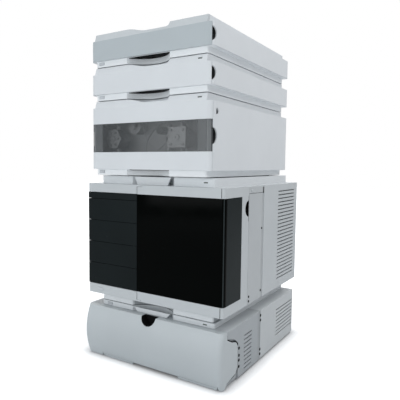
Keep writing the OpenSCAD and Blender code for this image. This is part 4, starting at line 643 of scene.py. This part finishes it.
# Guide for the solvent line: a white plastic post with a flared eye, screwed to the panel
# beside the left head.
union_plastic = moulded_plastic("union_plastic", (0.62, 0.62, 0.58), gloss=0.4, edge=0.0004)
post = [(3.2, -0.2), (3.2, 30), (6.4, 32), (6.4, 38), (5.6, 39.5), (2.4, 39.5)]
guide = bmesh.new()
turned(guide, (left_x - 27, panel_face, left_high.z - 2), (0, -1, 0), post, sides=28)
fit(guide, "tube_guide", union_plastic, "root")

# Window of the pump: smoked acrylic bent round both ends of the cover and clipped in behind
# its frame. The heads and the tubing show dimly through it.
def smoked_acrylic(name, tone, cover):
    finish, tree, skin, place = blank_finish(name)
    wire(tree, (two_tones(tree, place, 12.0, shaded(tone, 0.9), tone), skin.inputs["Base Color"]),
         (spread(tree, place, scale=20.0, low=0.12, high=0.2), skin.inputs["Roughness"]))
    skin.inputs["Alpha"].default_value = cover
    skin.inputs["Specular IOR Level"].default_value = 0.35
    return finish

dress(smoked_acrylic("smoked_acrylic", (0.075, 0.083, 0.088), cover=0.5), "pump_window")

# The sampler's dark panes: polished, deeply tinted acrylic glued into the door's rebate and
# onto the drawers. Along the bend of the door's pane a thin lighter line is a painted
# highlight, and past the bend a lighter tone is a painted reflection.
def dark_pane(name, tone, gloss, shine, wrap_y=None, reflection_tone=None):
    finish, tree, skin, place = blank_finish(name)
    body = dark = two_tones(tree, place, 5.0, shaded(tone, 0.8), tone)
    if wrap_y:
        # Painted highlight: a thin line along the bend; painted reflection: the lighter tone past
        # it.
        step, line_start, line_end = 0.0003, wrap_y - 0.0098, wrap_y - 0.0080
        painted_bend_highlight = two_tones(tree, place, 9.0, shaded(reflection_tone, 1.35), shaded(reflection_tone, 1.6))
        painted_wrap_reflection = two_tones(tree, place, 9.0, shaded(reflection_tone, 0.9), reflection_tone)
        body = change_over(tree, place, "Y", line_start, line_start + step, dark, painted_bend_highlight)
        body = change_over(tree, place, "Y", line_end, line_end + step, body, dark)
        body = change_over(tree, place, "Y", wrap_y, wrap_y + 0.001, body, painted_wrap_reflection)
    wire(tree, (body, skin.inputs["Base Color"]),
         (spread(tree, place, 14.0, gloss, gloss + 0.06), skin.inputs["Roughness"]))
    skin.inputs["Specular IOR Level"].default_value = shine
    return finish

bend_end_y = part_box("sampler_door_glass")[0][1] + 0.011
dress(dark_pane("door_pane", (0.0006, 0.0011, 0.0009), gloss=0.07, shine=0.03,
                wrap_y=bend_end_y, reflection_tone=(0.021, 0.026, 0.027)), "sampler_door_glass")
dress(dark_pane("drawer_pane", (0.006, 0.010, 0.011), gloss=0.22, shine=0.09),
      "drawer_1", "drawer_2", "drawer_3", "drawer_4", "drawer_frame")

# Grip in the free edge of the sampler's door: a black cup and a black strip in the finger
# slit, one matt piece in the door's side leg; painted shade for the shade inside grip and slit.
door_low, door_high = corners("sampler_door")
panel_low, panel_high = corners("sampler_side_panel")
grip_y, grip_z, slit_end = door_high.y, door_low.z + 229, 29.7
grip_r, cup_outer_r, cup_inner_r, cup_floor = 19.0, 18.9, 17.8, 0.8
deep, shallow = door_high.x - 9.5, door_high.x - 0.4
cup_section = ((shallow, cup_inner_r), (deep, cup_inner_r),
               (deep, cup_outer_r), (shallow, cup_outer_r))
half_turn = [math.radians(90 + 180 * i / 32) for i in range(33)]
cup = bmesh.new()
close_rings(cup, [[cup.verts.new((x, grip_y + r * math.cos(a), grip_z + r * math.sin(a)))
                   for x, r in cup_section] for a in half_turn])
close_rings(cup, [[cup.verts.new((x, grip_y + cup_outer_r * math.cos(a),
                                  grip_z + cup_outer_r * math.sin(a)))
                   for a in half_turn] for x in (deep, deep + cup_floor)])
cup_lip, slit_lip = 1.2, 1.9
for lip, bottom, top in ((cup_lip, 0.3 - grip_r, grip_r - 0.3),
                         (slit_lip, -slit_end, 1 - grip_r), (slit_lip, grip_r - 1, slit_end)):
    rounded_block(cup, (deep, grip_y - lip, grip_z + bottom),
                  (shallow, grip_y - 0.1, grip_z + top), soft=0.2)
fit(cup, "door_grip_shade_liner", black_and_painted_shade, "swing_door")

# Trim of the sampler's right side: the fine shut line and the dark stop over the fixed panel,
# the push rivets and the pale clip that hold the panel to its frame, and the black seams at
# the corners of the door's frame, where its sides are bonded to its front.
line_z = panel_high.z - 14
rivet = [(2.9, -0.4), (2.9, 0.3), (2.3, 0.9), (0.8, 1.1)]
clip_button = [(4.2, -0.4), (4.2, 0.5), (3.4, 1.2), (1.6, 1.5), (1.2, 0.9)]
stop, rivets, pale_clip, seams = bmesh.new(), bmesh.new(), bmesh.new(), bmesh.new()
rounded_block(stop, (panel_high.x - 0.3, panel_low.y + 1, line_z - 0.45),
              (panel_high.x + 0.15, panel_high.y - 0.5, line_z + 0.45), soft=0.1)
rounded_block(stop, (panel_high.x - 1.6, panel_high.y + 0.6, line_z - 2),
              (panel_high.x + 0.1, panel_high.y + 5.6, line_z + 13.5), soft=0.4)
for y, z in ((panel_low.y + 7, panel_low.z + 8), (panel_low.y + 7, panel_low.z + 19),
             (panel_high.y - 5, panel_low.z + 19), (panel_high.y - 5, line_z - 88)):
    turned(rivets, (panel_high.x, y, z), (1, 0, 0), rivet)
turned(pale_clip, (panel_high.x, panel_low.y + 15, line_z + 7), (1, 0, 0), clip_button, sides=28)
rounded_block(pale_clip, (panel_high.x - 0.3, panel_low.y + 14, line_z + 3.4),
              (panel_high.x + 0.7, panel_low.y + 33, line_z + 5), soft=0.3)
seam_x, seam_half = door_high.x - 8, 0.7
for bottom, top in ((door_high.z - 21.5, door_high.z - 1), (door_low.z + 1, door_low.z + 23)):
    rounded_block(seams, (seam_x - seam_half, door_low.y - 0.12, bottom),
                  (seam_x + seam_half, door_low.y + 0.4, top), soft=0.1)
fit(stop, "side_panel_stop", black_and_painted_shade, "root")
fit(rivets, "side_panel_rivets", black_and_painted_shade, "root")
fit(pale_clip, "side_panel_clip", grey_shell, "root")
fit(seams, "door_corner_seams", dark_plastic, "swing_door")

# Transport of the sampler: two ground rods on steel brackets, the moulded carriage that slides
# on them, and the steel needle arm that rises through it.
dress(sheet_steel, "transport_rail")
dress(dark_plastic, "transport_carriage")
dress(turned_steel, "needle_arm")

# Injection valve and metering device: cast drive blocks bolted to the floor of the sampler,
# with steel unions in their ports and bent capillaries between them.
dress(aluminium, "injection_valve", "metering_device")
valve_low, valve_high = corners("injection_valve")
meter_low, meter_high = corners("metering_device")
valve_x, ring_z = (valve_low.x + valve_high.x) / 2, valve_high.z - 26
meter_x = (meter_low.x + meter_high.x) / 2
port_circle, lead_y = 12, valve_low.y - 5
port_turns = [math.radians(60 * i) for i in range(6)]
port = [(valve_x + port_circle * math.cos(a), ring_z + port_circle * math.sin(a))
        for a in port_turns]
port_union = [(3.6, 0), (3.6, 5), (2.6, 6), (1.5, 6), (1.4, 8)]
meter_union = [(3.8, 0), (3.8, 3), (1.8, 4), (1.5, 5.5)]
stator_screw = [(4, -1), (4, 3), (3.4, 4), (1.8, 4), (1.6, 2)]
unions, loops = bmesh.new(), bmesh.new()
for x, z in port:
    turned(unions, (x, valve_low.y + 2, z), (0, -1, 0), port_union, sides=6)
turned(unions, (meter_x, meter_low.y + 1, ring_z), (0, -1, 0), meter_union, sides=6)
turned(unions, (valve_x, valve_low.y + 9, ring_z), (0, -1, 0), stator_screw)
meter_to_port = [
    (meter_x, meter_low.y - 4, ring_z), (meter_x + 8, meter_low.y - 8, ring_z + 4),
    (meter_x + 50, meter_low.y - 7, ring_z + 14), (valve_x - 34, lead_y - 14, ring_z + 12),
    (port[3][0] - 5, lead_y - 12, ring_z + 3), (port[3][0], lead_y, ring_z)]
upper_loop = [
    (port[1][0], lead_y, port[1][1]), (port[1][0] + 2, lead_y - 10, port[1][1] + 6),
    (valve_x + 6, lead_y - 14, ring_z + 28), (valve_x - 6, lead_y - 14, ring_z + 28),
    (port[2][0] - 2, lead_y - 10, port[2][1] + 6), (port[2][0], lead_y, port[2][1])]
side_loop = [
    (port[0][0], lead_y, port[0][1]), (port[0][0] + 4, lead_y - 10, port[0][1] - 4),
    (port[0][0] + 6, lead_y - 13, ring_z - 20), (port[5][0] + 4, lead_y - 12, port[5][1] - 12),
    (port[5][0], lead_y, port[5][1])]
for route in (meter_to_port, upper_loop, side_loop):
    skin_route(loops, route, capillary_r, sides=10)
fit(unions, "valve_unions", turned_steel, "root")
fit(loops, "valve_capillaries", turned_steel, "root")

# Hinge pins: ground steel pins pressed into the ears of both doors, which turn in holes in
# the housings.
dress(turned_steel, "hinge_pins")

# Finger recess of the detector's door: a black dish set in behind the half-round opening,
# with its rim just behind the bulged face; painted shade for the shade inside the recess.
flap_low, flap_high = corners("detector_door")
dish_x, dish_r, dish_wall, dish_floor = -3.0, 20.3, 1, 0.8
dish_back, rim_gap, rim_drop = flap_high.y - 55, 0.5, 0.4
sag, half_span = 14.0, (flap_high.z - flap_low.z) / 2
bulge_r = (half_span ** 2 + sag ** 2) / (2 * sag)
flap_middle = (flap_high.z + flap_low.z) / 2
dish, strips = bmesh.new(), []
for i in range(33):
    a = math.radians(180 + 180 * i / 32)
    z = flap_high.z + dish_r * math.sin(a) - rim_drop
    face_y = flap_low.y + bulge_r - math.sqrt(bulge_r ** 2 - (z - flap_middle) ** 2)
    outer_x = dish_x + dish_r * math.cos(a)
    inner_x = dish_x + (dish_r - dish_wall) * math.cos(a)
    strips.append([dish.verts.new(p) for p in (
        (outer_x, face_y + rim_gap, z), (outer_x, dish_back, z),
        (inner_x, dish_back - dish_wall, z + rim_drop), (inner_x, face_y + rim_gap, z + rim_drop))])
close_rings(dish, strips)
close_rings(dish, [[dish.verts.new((strip[1].co.x, y, strip[1].co.z)) for strip in strips]
                   for y in (dish_back - dish_floor, dish_back)])
fit(dish, "door_recess_shade_dish", black_and_painted_shade, "drop_door")

# Shade at the detector's door: a black bead round the rear edge of each cheek and black plugs
# in the catch holes of the housing behind it, painted shade for the shade in gap and holes.
rear, top = flap_high.y, flap_high.z
upper_edge = [(rear - 51.4, top - 7), (rear - 51.4, top - 14), (rear - 50.6, top - 16.8),
              (rear - 30, top - 28), (rear - 8.6, top - 34.6), (rear - 1, top - 41),
              (rear + 0.9, top - 47)]
lower_edge = [(rear + 0.75, top - 46), (rear + 0.75, 57), (rear + 0.75, 33),
              (rear - 8.4, 20.4), (rear - 30, 15.6), (rear - 51.6, 12.3)]
front_catches, rear_catches = (31, 46, 57, 74), (18, 30, top - 24, top - 12)
catch_plug = [(2.5, 0), (2.5, 2.9), (3.7, 2.92), (3.6, 3.3), (2.6, 3.9), (0.8, 4.1)]
bead, plugs = bmesh.new(), bmesh.new()
for side in (-1, 1):
    skin_route(bead, [(side * (flap_high.x - 1.3), y, z) for y, z in upper_edge], 1.2, steps=5)
    skin_route(bead, [(side * (flap_high.x - 0.9), y, z) for y, z in lower_edge], 0.7,
               sides=10, steps=4)
    for catches, behind in ((front_catches, 6), (rear_catches, 125)):
        for z in catches:
            turned(plugs, (side * (flap_high.x - 2.9), rear + behind, z), (side, 0, 0), catch_plug)
fit(bead, "door_cheek_gap_shade", black_and_painted_shade, "drop_door")
fit(plugs, "catch_hole_shade_plugs", black_and_painted_shade, "root")

# Optical bench with its lamp housing: castings bolted to the detector's floor, the lid held by
# socket screws, and the lamp's housing finned to shed heat.
dress(aluminium, "optical_unit")
dress(brushed_metal("fin_stock", (0.60, 0.61, 0.62), along=(30, 700, 30), rough=0.3),
      "lamp_housing")
bench_low, bench_high = corners("optical_unit")
lid_inset = 14
lid_screws = bmesh.new()
for x in (bench_low.x + lid_inset, (bench_low.x + bench_high.x) / 2, bench_high.x - lid_inset):
    for y in (bench_low.y + lid_inset, bench_high.y - lid_inset):
        turned(lid_screws, (x, y, bench_high.z), (0, 0, 1), cap_head)
fit(lid_screws, "bench_screws", turned_steel, "root")

# Flow cell: a steel block screwed to the front of the bench, with two capillaries to the
# unions in a small bracket on the edge of the floor.
dress(turned_steel, "flow_cell")
cell_low, cell_high = corners("flow_cell")
cell_x, bracket_y, union_z = (cell_low.x + cell_high.x) / 2, cell_low.y - 28, cell_low.z + 7
cell_port_z, cell_port_half, union_half = cell_low.z + 10, 13, 9
bracket_half_w, bracket_half_d, bracket_tall = 17, 3, 13
bracket_union = [(3.4, 0), (4.2, 0.8), (4.2, 14), (2.4, 15), (1.6, 17)]
bracket, cell_lines = bmesh.new(), bmesh.new()
rounded_block(bracket, (cell_x - bracket_half_w, bracket_y - bracket_half_d, cell_low.z),
              (cell_x + bracket_half_w, bracket_y + bracket_half_d, cell_low.z + bracket_tall),
              soft=0.8)
for side in (-1, 1):
    union_x, port_x = cell_x + side * union_half, cell_x + side * cell_port_half
    turned(bracket, (union_x, bracket_y - 8, union_z), (0, 1, 0), bracket_union, sides=6)
    skin_route(cell_lines, [(port_x, cell_low.y + 6, cell_port_z),
                            (port_x, cell_low.y - 3, cell_port_z),
                            (cell_x + side * 10.8, cell_low.y - 12, cell_low.z + 8),
                            (union_x, bracket_y + 8, union_z)], capillary_r, sides=10)
fit(bracket, "outlet_bracket", turned_steel, "root")
fit(cell_lines, "cell_capillaries", turned_steel, "root")
